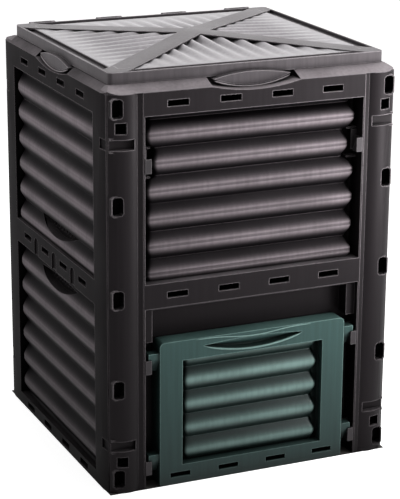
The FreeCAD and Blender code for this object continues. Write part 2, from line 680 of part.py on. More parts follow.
def add_vents(solids):
    """Crescent vents sunk into the upper sides of two crests: a wall, and a floor with slits."""
    cuts = []
    top_crest = size["lower_crest"] + size["vent_wave"] * size["pitch"]
    for level, height, field in (
            ("upper", size["upper_crest"] + size["pitch"] / 2, ("upper_crest", "upper_low", "upper_top")),
            ("lower", top_crest + size["vent_low"], ("lower_crest", "lower_low", "bay_top"))):
        half, rise, drop = size["vent_half"], size["vent_high"], size["vent_low"]
        vent = lens(0, height, half, rise, drop)
        outer = lens(0, height, half + SHELL, rise + SHELL, drop + SHELL)
        slits = slot_row(height - drop / 3, size["vent_slit"] / 2, drop / 4,
                         [(n - 4) * size["vent_step"] for n in range(9)])
        behind_sheet = backed(wave_section("side_setback", "side_wave", "pitch", *field),
                              size["vent_deep"] + SHELL)
        wall = facing(f"vent_wall_{level}", [outer, vent], "side_setback", "vent_deep + shell")
        solids.append(shared(f"vent_wall_{level}_cut", wall,
                             across(f"vent_room_{level}", behind_sheet, "-opening_half", "opening_half")))
        solids.append(facing(f"vent_floor_{level}", [outer] + slits, "vent_deep", "vent_deep + shell"))
        cuts.append(facing(f"vent_space_{level}", [vent], "-1", "vent_deep"))
    return solids, cuts


def side_wall():
    """Side wall, drawn facing the front: outer skin, two fields, vents, hooks and a scoop."""
    half = HALF - size["skin_inset"]
    low, middle, high = size["low_slots"], size["mid_slots"], size["top_slots"]
    holes = [rectangle(-OPEN, OPEN, size["upper_low"], size["upper_top"]),
             rectangle(-OPEN, OPEN, size["lower_low"], size["bay_top"])]
    holes += slot_row(low) + slot_row(middle) + slot_row(high)
    solids = [facing("side_skin", [panel_outline(half, True)] + holes, "0", "side_skin")]
    solids += side_field("side_upper", "upper_crest", "upper_low", "upper_top")
    solids += side_field("side_lower", "lower_crest", "lower_low", "bay_top")
    solids, cuts = add_vents(solids)
    for side, way in (("left", -1), ("right", 1)):
        for i, height in enumerate(WINDOW_HEIGHTS):
            edges = ("body_width / 2 - hook_near - hook_thick", "body_width / 2 - hook_near")
            left, right = edges if way > 0 else (f"-({edges[1]})", f"-({edges[0]})")
            solids.append(slab(f"hook_{side}_{i}", left, right, "side_skin / 2", "side_skin + hook_long",
                               f"{height} - hook_wide / 2", f"{height} + hook_wide / 2"))
        for i, height in enumerate(GROOVE_HEIGHTS):
            edges = ("body_width / 2 - groove_long", "body_width / 2")
            left, right = edges if way > 0 else (f"-({edges[1]})", f"-({edges[0]})")
            cuts.append(slab(f"side_groove_{side}_{i}", left, right, "-1", "side_skin - 1.5",
                             f"{height} - groove_high / 2", f"{height} + groove_high / 2"))
    arches = []
    for x in (-size["slot_step"], 0, size["slot_step"]):
        wide = size["arch_wide"] / 2
        foot = size["bay_top"] - 1
        arches.append([((x - wide, foot), (x + wide, foot)), ((x + wide, foot), (x + wide, middle)),
                       ((x + wide, middle), (x, middle + wide), (x - wide, middle)),
                       ((x - wide, middle), (x - wide, foot))])
    cuts.append(facing("side_arches", arches, "-1", "side_skin - 2"))
    roll = size["side_skin"] * 0.6
    for side, way in (("left", -1), ("right", 1)):
        bevel = [(way * (half - 4 * size["side_skin"]), -HALF), (way * (half + 1), -HALF - 1),
                 (way * (half + 1), -HALF + roll * 1.05)]
        cuts.append(pad(f"side_roll_{side}", "XY", [polygon(bevel)], "0", "wall_height"))
    scoop_solids, scoop_cuts = scoop("side_scoop", "side_face", "lid_half", LEDGE_SIDE)
    return solids + scoop_solids, cuts + scoop_cuts


def hatch():
    """Lift-out hatch: a shallow tray with a corrugated pane, a finger scoop, slots and four lugs."""
    half, low, top = size["hatch_half"], size["hatch_low"], size["hatch_top"]
    bend = size["hatch_round"]
    outer = rounded(-half, half, low, top, SHELL, bend)
    inner = rounded(-half + SHELL, half - SHELL, low + SHELL, top - SHELL, 1, bend - SHELL)
    pane_half, pane_low, pane_top = size["pane_half"], size["pane_low"], size["pane_top"]
    pane = rectangle(-pane_half, pane_half, pane_low, pane_top)
    pane_rim = rectangle(-pane_half - SHELL, pane_half + SHELL, pane_low - SHELL, pane_top + SHELL)
    grip = lens(0, size["grip_level"], size["grip_half"], size["grip_rise"], size["grip_drop"])
    cup = lens(0, size["grip_level"], size["grip_half"] + SHELL, size["grip_rise"] + SHELL / 2,
               size["grip_drop"] + SHELL)
    slots = slot_row(size["hatch_slots"], half_high=size["hatch_slot_high"] / 2,
                     places=[(n - 1.5) * size["hatch_slot_step"] for n in range(4)])
    waves = wave_section("hatch_setback", "hatch_wave", "hatch_pitch", "hatch_crest", "pane_low", "pane_top")
    solids = [
        facing("hatch_face", [outer, pane, grip] + slots, "0", "shell"),
        facing("hatch_sides", [outer, inner], "shell / 2", "hatch_depth"),
        facing("hatch_pane_rim", [pane_rim, pane], "shell / 2", "pane_deep"),
        across("hatch_pane", waves, "-(pane_half + shell / 2)", "pane_half + shell / 2"),
        facing("hatch_cup_wall", [cup, grip], "shell / 2", "grip_deep"),
        facing("hatch_cup_floor", [cup], "grip_deep - 1", "grip_deep + shell - 1"),
    ]
    front = size["face_step"] / 2 + size["keeper_tip"] + size["lug_play"]
    rear = size["leg_near"] - size["hook_play"] * 2
    ramp = size["keeper_high"] * KEEPER_TAN
    for level in ("low_keeper", "high_keeper"):
        foot = size[level] - size["keeper_high"] / 2
        shoulder = foot + size["keeper_high"]
        lug = polygon([(front + ramp, foot), (front, shoulder), (front, shoulder + size["lug_rise"]),
                       (rear, shoulder + size["lug_rise"]), (rear, foot)])
        solids.append(across(f"lug_left_{level}", lug, "-(hatch_half + lug_long)", "-(hatch_half - shell)"))
        solids.append(across(f"lug_right_{level}", lug, "hatch_half - shell", "hatch_half + lug_long"))
    return fused("hatch", solids)


def keeper_parts():
    """Ramp, web and back leg of a left keeper, standing on the ground against the stile's reveal."""
    high = size["keeper_high"]
    tip = size["keeper_tip"]
    front = size["face_step"] / 2
    ramp = polygon([(front, 0), (front + tip + high * KEEPER_TAN, 0), (front + tip, high), (front, high)])
    outer = "-opening_half"
    web = "-(opening_half - keeper_web)"
    return [
        across("keeper_ramp", ramp, outer, "-(opening_half - keeper_wide)"),
        slab("keeper_web", outer, web, "face_step / 2", "leg_near + keeper_web - 0.5", "0", "keeper_high"),
        slab("keeper_leg", outer, "-(opening_half - keeper_wide)", "leg_near", "leg_near + keeper_web - 0.5",
             "0", "keeper_high + lug_rise"),
    ]


def hinge_ears(name):
    """Pairs of ears on the back wall's collar, one pair for each of the lid's barrels."""
    reach = size["barrel_radius"]
    y, z = size["axle_y"], size["axle_z"]
    foot = size["wall_height"] + SHELL
    loop = [((y - reach, foot), (y - reach, z)), ((y - reach, z), (y, z + reach), (y + reach, z)),
            ((y + reach, z), (y + reach + SHELL, foot)), ((y + reach + SHELL, foot), (y - reach, foot))]
    ears = []
    for i, place in enumerate(HINGE_PLACES):
        inner = f"{place} + barrel_long / 2 + ear_play"
        outer = f"{place} - barrel_long / 2 - ear_play"
        ears.append(pad(f"{name}_{i}_right", "YZ", [loop], inner, f"{inner} + ear_thick"))
        ears.append(pad(f"{name}_{i}_left", "YZ", [loop], f"{outer} - ear_thick", outer))
    return ears


def lid_field(side, edge_place, middle_place, reach, corners, rim):
    """Triangular field of folded waves, flat along the rim and full height at the middle of the lid.

    Each wave has a flat crest and valley and two flanks, with one ridge and a flat valley under
    them. Every plate is split along its diagonal, because its two ends lean at different angles.
    """
    crosses_x = side in ("front", "back")
    pitch, wave, thick = size["lid_pitch"], size["lid_wave"], size["field_sheet"]
    level = rim - size["band_proud"]
    rise = size["lid_rise"] - size["lid_wave"]
    top = []
    under = []
    count = math.floor(reach / pitch)
    for n in range(-count, count + 1):
        middle = n * pitch
        foot = pitch / 2 - pitch * VALLEY_FLAT
        top += [(middle - foot, 0), (middle - pitch * CREST_FLAT, 1), (middle + pitch * CREST_FLAT, 1),
                (middle + foot, 0)]
        under += [(middle - foot - thick / 2, 0), (middle, 1), (middle + foot + thick / 2, 0)]
    under[0] = (top[0][0], 0)
    under[-1] = (top[-1][0], 0)

    def row(place, section, crest, foot):
        points = [(along, level + foot + crest * part) for along, part in section]
        return [FreeCAD.Vector(u, place, v) if crosses_x else FreeCAD.Vector(place, u, v) for u, v in points]

    def plates(first, second):
        made = []
        for i in range(len(first) - 1):
            made.append(Part.Face(Part.makePolygon([first[i], first[i + 1], second[i + 1], first[i]])))
            made.append(Part.Face(Part.makePolygon([first[i], second[i + 1], second[i], first[i]])))
        return made

    edge_top, inner_top = row(edge_place, top, 0, 0), row(middle_place, top, wave, rise)
    edge_under, inner_under = row(edge_place, under, 0, -thick), row(middle_place, under, wave, rise - thick)
    faces = plates(edge_top, inner_top) + plates(edge_under, inner_under)
    for above, below in ((edge_top, edge_under), (inner_top, inner_under)):
        faces.append(Part.Face(Part.makePolygon(above + below[::-1] + above[:1])))
    for i in (0, -1):
        faces += plates([edge_top[i], inner_top[i]], [edge_under[i], inner_under[i]])
    sheet_now = doc.addObject("Part::Feature", f"field_{side}_sheet")
    sheet_now.Shape = Part.makeSolid(Part.makeShell(faces))
    triangle = pad(f"field_{side}_outline", "XY", [polygon(corners)], "collar_height",
                   "collar_height + 2 * lid_skirt + lid_rise")
    return shared(f"field_{side}", sheet_now, triangle)


def lid():
    """Lid: skirt, gutter and curb, a shallow pyramid of two crossing bands, and four waved fields."""
    half, front, back = size["lid_half"], size["lid_front"], size["lid_back"]
    shell, gutter, bend = size["lid_shell"], size["lid_gutter"], size["lid_round"]
    base = "collar_height + lid_play"
    rim_text = base + " + lid_skirt"
    rim = size["collar_height"] + size["lid_play"] + size["lid_skirt"]

    def ring(inset, corner):
        return rounded(-half + inset, half - inset, -front + inset, back - inset, corner, corner)

    solids = [
        pad("lid_skirt", "XY", [ring(0, bend), ring(shell, bend - shell)], base, rim_text),
        pad("lid_gutter_floor", "XY", [ring(shell / 2, bend - shell / 2), ring(gutter, shell)],
            f"{rim_text} - gutter_drop - lid_shell", f"{rim_text} - gutter_drop"),
        pad("lid_curb", "XY", [ring(gutter - shell / 2, shell), ring(gutter + shell / 2, shell)],
            f"{rim_text} - gutter_drop - lid_shell", f"{rim_text} - band_proud"),
    ]
    curb = gutter + shell / 2
    corner_half, corner_front, corner_back = half - curb, front - curb, back - curb
    centre = (corner_back - corner_front) / 2
    pyramid_top = pyramid(
        "lid_pyramid", "lid_half - lid_gutter", "lid_front - lid_gutter", "lid_back - lid_gutter",
        "band_flat", "(lid_front - lid_back) / 2 + band_flat", "(lid_back - lid_front) / 2 + band_flat",
        rim_text, rim_text + " + lid_rise")
    bars = []
    run = math.hypot(corner_half, (corner_front + corner_back) / 2)
    u, v = corner_half / run, (corner_front + corner_back) / 2 / run
    for name, way in (("rising", 1), ("falling", -1)):
        offset = size["lid_band"] / 2
        ends = []
        for end in (-1, 1):
            x, y = end * run * BAND_REACH * u, centre + way * end * run * BAND_REACH * v
            sides = [(x - way * v * offset, y + u * offset), (x + way * v * offset, y - u * offset)]
            ends += sides if end < 0 else sides[::-1]
        bars.append(pad(f"band_{name}", "XY", [polygon(ends)], rim_text + " - lid_skirt",
                        rim_text + " + 2 * lid_rise"))
    shell_top = without("lid_shell_top", pyramid_top, [lowered("lid_pyramid_under", pyramid_top, "lid_shell")])
    cross = fused("band_cross", bars)
    solids.append(shared("lid_bands", shell_top, cross))
    rim_plate = pad("lid_rim_plate", "XY", [ring(shell / 2, bend - shell / 2), ring(gutter + 2 * shell, shell)],
                    f"{rim_text} - lid_shell", rim_text)
    solids.append(shared("lid_band_ends", rim_plate, cross))
    tuck = size["lid_band"] / 2 - size["field_tuck"]
    back_off = tuck / v, tuck / u
    left_x, right_x = -corner_half - 1, corner_half + 1
    front_y, back_y = -corner_front - 1, corner_back + 1
    solids += [
        lid_field("front", front_y, centre, half - gutter / 2,
                  [(left_x + back_off[0], front_y), (right_x - back_off[0], front_y),
                   (0, centre - back_off[1])], rim),
        lid_field("back", back_y, centre, half - gutter / 2,
                  [(left_x + back_off[0], back_y), (0, centre + back_off[1]),
                   (right_x - back_off[0], back_y)], rim),
        lid_field("left", left_x, 0, front - gutter / 2,
                  [(left_x, front_y + back_off[1]), (-back_off[0], centre), (left_x, back_y - back_off[1])],
                  rim),
        lid_field("right", right_x, 0, front - gutter / 2,
                  [(right_x, front_y + back_off[1]), (right_x, back_y - back_off[1]), (back_off[0], centre)],
                  rim),
    ]
    tab = lens(0, size["tab_level"], size["tab_half"], size["tab_rise"], size["tab_drop"])
    solids.append(facing("tab_front", [tab], "body_width / 2 - lid_front - tab_proud",
                         "body_width / 2 - lid_front + lid_shell"))
    solids.append(pad("tab_left", "YZ", [tab], "-(lid_half + tab_proud)", "-(lid_half - lid_shell)"))
    solids.append(pad("tab_right", "YZ", [tab], "lid_half - lid_shell", "lid_half + tab_proud"))
    for i, place in enumerate(HINGE_PLACES):
        left, right = f"{place} - barrel_long / 2", f"{place} + barrel_long / 2"
        solids.append(rod(f"barrel_{i}", left, right, "barrel_radius"))
        solids.append(block(f"barrel_web_{i}", left, right, "lid_back - lid_shell", "axle_y - barrel_radius / 2",
                            "axle_z - barrel_radius / 2", "axle_z + barrel_radius / 2"))
    bores = [rod(f"bore_{i}", f"{place} - barrel_long / 2 - 1", f"{place} + barrel_long / 2 + 1",
                 "pin_radius + pin_play") for i, place in enumerate(HINGE_PLACES)]
    return without("lid", fused("lid_solids", solids), bores)


def pin(name, place, way):
    """Hinge pin with a round head on its outer end."""
    side = "barrel_long / 2 + ear_play + ear_thick"
    shank = rod(name + "_shank", f"{place} - ({side})", f"{place} + {side}", "pin_radius")
    if way > 0:
        head = rod(name + "_head", f"{place} + {side}", f"{place} + {side} + pin_cap", "pin_head")
    else:
        head = rod(name + "_head", f"{place} - ({side}) - pin_cap", f"{place} - ({side})", "pin_head")
    return fused(name, [shank, head])


# Front wall
front_solids, front_cuts = end_wall("front", True)
pocket_solids, pocket_cuts = spare_pockets()
scoop_solids, scoop_cuts = scoop("front_scoop", "face_step", "lid_front", LEDGE_FRONT)
front_collar = collar_share("front_collar", "-(body_width / 2 - side_skin)", "body_width / 2 - side_skin",
                            "-body_width / 2", f"-({LEDGE_FRONT})")
front_solids += hatch_bay() + pocket_solids + scoop_solids + [front_collar]
front_wall = without("front_wall", fused("front_solids", front_solids), front_cuts + pocket_cuts + scoop_cuts)

# Back wall, turned round from the front, with the ears that carry the lid
back_solids, back_cuts = end_wall("back", False)
back_collar = collar_share("back_collar", "-(body_width / 2 - side_skin)", "body_width / 2 - side_skin",
                           LEDGE_BACK, "body_width / 2")
back_turned = turned("back_turned", without("back_plain", fused("back_solids", back_solids), back_cuts), 180)
ear_bores = [rod(f"ear_bore_{i}", f"{place} - barrel_long", f"{place} + barrel_long", "pin_radius")
             for i, place in enumerate(HINGE_PLACES)]
back_wall = without("back_wall", fused("back_all", [back_turned, back_collar] + hinge_ears("ear")), ear_bores)

# Side walls: one is turned to face left, and the other is its mirror image
side_solids, side_cuts = side_wall()
side_turned = turned("side_turned", fused("side_solids", side_solids), -90)
side_cleared = turned("side_cleared", fused("side_cuts", side_cuts), -90)
side_edge = collar_share("side_edge", "-body_width / 2", "-(body_width / 2 - side_skin)", "-body_width / 2",
                         "body_width / 2")
side_ledge = collar_share("side_ledge", "-(body_width / 2 - side_skin)", "0", f"-({LEDGE_FRONT})", LEDGE_BACK)
left_wall = without("left_wall", fused("left_solids", [side_turned, side_edge, side_ledge]), [side_cleared])
right_wall = mirrored("right_wall", left_wall, (1, 0, 0))

# Keepers: three pairs, all the same
keeper_solids = keeper_parts()
keepers = []
for level in ("low", "high", "spare"):
    left_keeper = fused(f"{KEEPER_NAMES[level]}_keeper_left", keeper_solids)
    left_keeper.setExpression(".Placement.Base.z", linked(f"{level}_keeper - keeper_high / 2"))
    keepers += [left_keeper, mirrored(f"{KEEPER_NAMES[level]}_keeper_right", left_keeper, (1, 0, 0))]

pins = [pin("hinge_pin_outer_left", HINGE_PLACES[0], -1), pin("hinge_pin_inner_left", HINGE_PLACES[1], -1),
        pin("hinge_pin_inner_right", HINGE_PLACES[2], 1), pin("hinge_pin_outer_right", HINGE_PLACES[3], 1)]

PARTS = [front_wall, back_wall, left_wall, right_wall, lid(), hatch()] + keepers + pins
doc.recompute()
failed = [thing.Label for thing in doc.Objects if {"Invalid", "Error"} & set(thing.State)]
if failed:
    raise RuntimeError("failed objects: " + ", ".join(failed))
for part in PARTS:
    if part.Shape.isNull() or not part.Shape.isValid() or len(part.Shape.Solids) != 1:
        raise RuntimeError(f"{part.Label} is not one valid solid: {len(part.Shape.Solids)}")
os.makedirs("parts", exist_ok=True)
for part in PARTS:
    part.Shape.exportStep(f"parts/{part.Label}.step")
    print(part.Label, round(part.Shape.Volume / 1000, 1), "cm3")
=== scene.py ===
import math

import bmesh
import bpy
import numpy as np
from mathutils import Matrix, Vector


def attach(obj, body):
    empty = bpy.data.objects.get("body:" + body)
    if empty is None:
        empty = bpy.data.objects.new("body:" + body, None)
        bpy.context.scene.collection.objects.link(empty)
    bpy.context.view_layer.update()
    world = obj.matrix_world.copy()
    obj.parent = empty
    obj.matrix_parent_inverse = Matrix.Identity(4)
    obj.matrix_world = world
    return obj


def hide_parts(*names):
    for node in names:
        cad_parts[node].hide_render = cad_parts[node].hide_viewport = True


# Garden compost bin in dark moulded plastic, with a green lift-out hatch and a hinged lid.
# Metres. +Z is up, the hatch faces -Y, and the origin is on the ground under the middle.

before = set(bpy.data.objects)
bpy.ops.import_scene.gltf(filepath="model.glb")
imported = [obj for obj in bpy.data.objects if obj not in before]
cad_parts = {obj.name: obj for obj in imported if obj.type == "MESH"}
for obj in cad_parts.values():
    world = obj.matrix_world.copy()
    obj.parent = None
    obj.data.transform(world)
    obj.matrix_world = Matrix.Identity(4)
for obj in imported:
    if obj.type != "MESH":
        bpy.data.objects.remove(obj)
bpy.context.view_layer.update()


# Meshes

CAD_SHARP = 35
WEB_SHARP = 40
WAVE_SHARP = 60


def smooth_by_angle(mesh, degrees):
    """Smooth shading, except over edges that bend by more than the angle."""
    mesh.shade_smooth()
    mesh.set_sharp_from_angle(angle=math.radians(degrees))


def quads(table):
    """Quads between neighbouring rows and columns of a table of point numbers."""
    corners = np.stack([table[:-1, :-1], table[:-1, 1:], table[1:, 1:], table[1:, :-1]], axis=-1)
    return corners.reshape(-1, 4)


def two_tables(shape):
    """Tables of point numbers for an outer sheet and for the inner sheet that comes after it."""
    outer = np.arange(shape[0] * shape[1]).reshape(shape)
    return outer, outer + outer.size


def rim(outer, inner):
    """Strips of quads that close the four sides between two tables of point numbers."""
    return [quads(np.stack(pair)) for pair in (
        (outer[0], inner[0]), (inner[-1], outer[-1]),
        (inner[:, 0], outer[:, 0]), (outer[:, -1], inner[:, -1]))]


def closed_piece(name, points, faces, caps=(), degrees=WAVE_SHARP):
    """Object from an (n, 3) array of points, a list of arrays of quads and a list of polygons.

    Its doubles are merged, and its faces point outwards.
    """
    mesh = bpy.data.meshes.new(name)
    mesh.from_pydata(points.tolist(), [], np.concatenate(faces).tolist() + list(caps))
    built = bmesh.new()
    built.from_mesh(mesh)
    bmesh.ops.remove_doubles(built, verts=built.verts, dist=2e-6)
    bmesh.ops.dissolve_degenerate(built, edges=built.edges, dist=1e-6)
    bmesh.ops.recalc_face_normals(built, faces=built.faces)
    built.to_mesh(mesh)
    built.free()
    mesh.validate()
    smooth_by_angle(mesh, degrees)
    piece = bpy.data.objects.new(name, mesh)
    bpy.context.scene.collection.objects.link(piece)
    return piece


def finished_copy(name, node, body, dropped):
    """Merged, smoothly shaded copy of a CAD node, without the faces that the test picks out."""
    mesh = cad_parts[node].data.copy()
    mesh.name = name
    if "custom_normal" in mesh.attributes:
        mesh.attributes.remove(mesh.attributes["custom_normal"])
    built = bmesh.new()
    built.from_mesh(mesh)
    bmesh.ops.remove_doubles(built, verts=built.verts, dist=2e-5)
    bmesh.ops.triangulate(built, faces=built.faces)
    built.faces.ensure_lookup_table()
    corners = np.array([[tuple(loop.vert.co) for loop in face.loops] for face in built.faces])
    gone = np.nonzero(dropped(corners))[0]
    bmesh.ops.delete(built, geom=[built.faces[i] for i in gone], context="FACES")
    built.to_mesh(mesh)
    built.free()
    mesh.materials.clear()
    smooth_by_angle(mesh, CAD_SHARP)
    piece = bpy.data.objects.new(name, mesh)
    bpy.context.scene.collection.objects.link(piece)
    fit([piece], body)
    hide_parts(node)
    return piece


def fit(pieces, body):
    """Let new pieces ride on a body."""
    for piece in pieces:
        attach(piece, body)


def point_places(mesh):
    """Places of a mesh's points as an (n, 3) array."""
    places = np.empty(len(mesh.vertices) * 3)
    mesh.vertices.foreach_get("co", places)
    return places.reshape(-1, 3)


def mark_painted_highlight(mesh, values):
    """Point attribute crest, which the finish reads as a painted highlight: 1 on the top of a wave,
    0 in its valley.
    """
    mark = mesh.attributes.new("crest", "FLOAT", "POINT")
    mark.data.foreach_set("value", np.clip(values, 0, 1).astype(np.float32))


def arc_height(along, level, half, bulge):
    """Height of an arc through (-half, level), (0, level + bulge) and (half, level)."""
    radius = (half ** 2 + bulge ** 2) / (2 * abs(bulge))
    inside = np.sqrt(np.maximum(radius ** 2 - np.minimum(np.abs(along), half) ** 2, 0))
    return level + math.copysign(1, bulge) * (inside - (radius - abs(bulge)))


def bead(name, path, outward, radius):
    """Raised line on a face: a circle carried along a path, tapering at both ends.

    path is an (n, 3) array of points. The circle's radius is the given one times the square root
    of one less the eighth power of the way from the middle, and its plane holds outward.
    """
    sides = 12
    share = np.linspace(-1, 1, len(path))
    width = radius * np.sqrt(np.maximum(1 - share ** 8, 0.05))
    along = np.gradient(path, axis=0)
    along /= np.linalg.norm(along, axis=1)[:, None]
    across = np.cross(along, outward)
    turn = np.linspace(0, 2 * math.pi, sides + 1)
    ring = (np.cos(turn)[None, :, None] * across[:, None, :]
            + np.sin(turn)[None, :, None] * np.array(outward, float))
    grid = path[:, None, :] + width[:, None, None] * ring
    table = np.arange(len(path) * (sides + 1)).reshape(-1, sides + 1)
    caps = [table[0, :sides][::-1].tolist(), table[-1, :sides].tolist()]
    piece = closed_piece(name, grid.reshape(-1, 3), [quads(table)], caps)
    # The whole bead is marked for the crest colour, a painted highlight line.
    mark_painted_highlight(piece.data, np.ones(len(piece.data.vertices)))
    return piece


# Corrugated fields

# HALF is from the middle to the outer face of a wall. Each wall has the axis that its depth is
# measured on, and the sign of the way in.
HALF = 0.305
WALLS = {"front": (1, 1), "back": (1, -1), "left": (0, 1), "right": (0, -1)}
# A wave is ROUND parts arc to 1 - ROUND parts cosine, with a groove of this width on its crest.
ROUND = 0.6
GROOVE_WIDTH = 0.0024
# Thickness of a field, and the height of its rows.
SHEET = 0.0035
ROW_STEP = 0.0015


def on_wall(wall, points):
    """Points given as along, depth and height, put on a wall: depth is behind its outer face."""
    axis, inward = WALLS[wall]
    along, depth, height = points.T
    if axis == 1:
        return np.column_stack([inward * along, inward * (depth - HALF), height])
    return np.column_stack([inward * (depth - HALF), -along, height])


def wall_depth(wall, places):
    """Depth of places behind a wall's outer face."""
    axis, inward = WALLS[wall]
    return HALF + inward * places[..., axis]


def wave_depth(height, setback, wave, pitch, crest, groove):
    """Depth of a corrugated sheet at a height.

    It is the mean, weighted by ROUND, of two curves with the same crests and valleys: an arc over
    the whole pitch, which meets the next one in a sharp valley, and a cosine. A groove with the
    shape of a bell curve runs along the top of every crest.
    """
    radius = ((pitch / 2) ** 2 + wave ** 2) / (2 * wave)
    off = np.abs((height - crest + pitch / 2) % pitch - pitch / 2)
    arc = radius - np.sqrt(radius ** 2 - off ** 2)
    cosine = wave * (0.5 - 0.5 * np.cos(2 * np.pi * off / pitch))
    return (setback + ROUND * arc + (1 - ROUND) * cosine
            + groove * np.exp(-(off / GROOVE_WIDTH) ** 2))


def rows_round_vent(rows, count, reach, vent):
    """Heights of a field's rows, which part round a lens-shaped hole, and the last row below it.

    Under the hole the rows go in equal steps from the field's foot to the hole's lower arc, and
    over it from the upper arc to the field's top. Beside the hole both arcs are at its level.
    """
    low, high = rows
    level, half, rise, drop = vent
    lower = arc_height(reach, level, half, -drop)
    upper = arc_height(reach, level, half, rise)
    below = int(round((level - low) / (high - low) * count))
    under = low + (lower - low) * np.linspace(0, 1, below + 1)[:, None]
    over = upper + (high - upper) * np.linspace(0, 1, count - below + 1)[:, None]
    return np.concatenate([under, over]), below


def field(name, wall, rows, crest, groove, half_at, setback, wave, pitch, back, flange,
          bend=(0.010, 0.014), columns=24, vent=None):
    """Corrugated field as one closed shell: a face, two ends that run back, and an inner side.

    Across the field the outer line is straight, then a quarter of an ellipse with the two radii of
    bend, then straight to the depth back, and then level to the half width flange. Along that line
    course is up to 1 on the face, up to 1 and a quarter turn on the bend, and 3 on the run back.
    half_at gives the half width over the bends for an array of heights, and setback is the depth
    of the crests. vent is a lens-shaped hole as (level, half, rise, drop), and the rows lean to
    follow it.
    """
    low, high = rows
    count = int((high - low) / ROW_STEP)
    across = np.linspace(-1, 1, 2 * columns + 1)
    turn = np.linspace(0, math.pi / 2, 8)[1:]
    run = np.array([1, 0.6, 0.25])
    far = np.full(len(run), 3.0)
    course = np.concatenate([-far, -1 - turn[::-1], across, 1 + turn, far])
    run = np.concatenate([run, np.zeros(len(course) - 2 * len(run)), run[::-1]])
    if vent:
        reach = (half_at(vent[0]) - bend[0]) * np.clip(course, -1, 1)
        heights, last_below = rows_round_vent(rows, count, reach, vent)
    else:
        heights = np.repeat(np.linspace(low, high, count + 1)[:, None], len(course), axis=1)

    half_wide = half_at(heights)
    straight = half_wide - bend[0]
    angle = np.clip(np.abs(course) - 1, 0, math.pi / 2)
    along = np.where(np.abs(course) <= 1, course * straight,
                     np.sign(course) * (straight + bend[0] * np.sin(angle)))
    depth = (wave_depth(heights, setback, wave, pitch, crest, groove)
             + bend[1] * (1 - np.cos(angle)))
    depth = np.minimum(depth + (back - depth) * run, back)
    inner_along = np.clip(along, SHEET - half_wide, half_wide - SHEET)
    inner_depth = np.minimum(depth + SHEET, back) + np.where(run == 1, SHEET, 0)

    beside = ((0, 0), (1, 1))
    ends = ((0, 0), (-flange, flange))
    heights = np.pad(heights, beside, mode="edge")
    outer = np.stack([np.pad(along, beside, constant_values=ends),
                      np.pad(depth, beside, constant_values=back), heights], axis=-1)
    inner = np.stack([np.pad(inner_along, beside, constant_values=ends),
                      np.pad(inner_depth, beside, constant_values=back + SHEET), heights], axis=-1)
    front, rear = two_tables(heights.shape)
    if vent:
        parts = (slice(last_below + 1), slice(last_below + 1, None))
        faces = ([quads(front[part]) for part in parts]
                 + [quads(rear[part])[:, ::-1] for part in parts])
        open_columns = np.nonzero(np.abs(reach) <= vent[1] + 1e-9)[0] + 1
        hole = slice(open_columns[0], open_columns[-1] + 1)
        faces += [quads(np.stack([front[last_below, hole], rear[last_below, hole]])),
                  quads(np.stack([rear[last_below + 1, hole], front[last_below + 1, hole]]))]
    else:
        faces = [quads(front), quads(rear)[:, ::-1]]
    points = np.concatenate([outer.reshape(-1, 3), inner.reshape(-1, 3)])
    piece = closed_piece(name, on_wall(wall, points), faces + rim(front, rear))
    # Painted highlight: the crest mark is 1 on the crests and falls to 0 in the valleys.
    behind = wall_depth(wall, point_places(piece.data)) - setback
    mark_painted_highlight(piece.data, 1 - behind / wave)
    return piece


def scalloped(half, crest, pitch, bite):
    """Half width at a height: half at the crests, less by bite in the valleys, a cosine between."""
    return lambda heights: half - bite * (0.5 - 0.5 * np.cos(2 * np.pi * (heights - crest) / pitch))


# Walls

PITCH = 0.0545
# For the upper and the lower fields: one crest's height, the rows' lowest and highest points, and
# the heights of the CAD faces that a field takes the place of.
UPPER_CREST, UPPER_ROWS, UPPER_CUT = 0.4355, (0.419, 0.750), (0.421, 0.748)
LOWER_CREST, LOWER_ROWS, LOWER_CUT = 0.0575, (0.023, 0.373), (0.025, 0.371)
# Half widths of the fields' faces and of a side wall's opening, and how far the front and back
# fields draw in at a valley.
FACE_HALF, OPENING_HALF, END_BITE = 0.223, 0.229, 0.008
# Half width and depths of the CAD faces that go, at the ends (front and back) and at the sides.
END_CUT = (0.222, (0.0159, 0.0501))
SIDE_CUT = (OPENING_HALF, (0.0039, 0.0201))
# The pockets of the spare keepers: lowest and highest point, depth, and softness of the step.
POCKET_LOW, POCKET_HIGH, POCKET_DEPTH, POCKET_EDGE = 0.624, 0.682, 0.014, 0.0015
# The vents' levels, and their half width, rise over the level and drop under it.
UPPER_VENT, LOWER_VENT = 0.46275, 0.352
VENT_LENS = (0.104, 0.003, 0.022)

# What the front and back fields have in common, and what the side fields have.
END = {"setback": 0.016, "wave": 0.015, "pitch": PITCH, "back": 0.0482, "flange": 0.2225,
       "groove": 0.0022}
SIDE = {"setback": 0.004, "wave": 0.012, "pitch": PITCH, "back": 0.038, "flange": 0.2305,
        "groove": 0.0007, "bend": (0.008, 0.012), "columns": 54}


def even_width(heights):
    """Half width of a side wall's field, the same at every height."""
    return np.full(np.shape(heights), FACE_HALF)


def with_pockets(heights):
    """Scalloped half width, drawn in beside the spare keepers by two soft steps."""
    over = 1 / (1 + np.exp(-(heights - POCKET_LOW) / POCKET_EDGE))
    inside = over / (1 + np.exp((heights - POCKET_HIGH) / POCKET_EDGE))
    return scalloped(FACE_HALF, UPPER_CREST, PITCH, END_BITE)(heights) - POCKET_DEPTH * inside


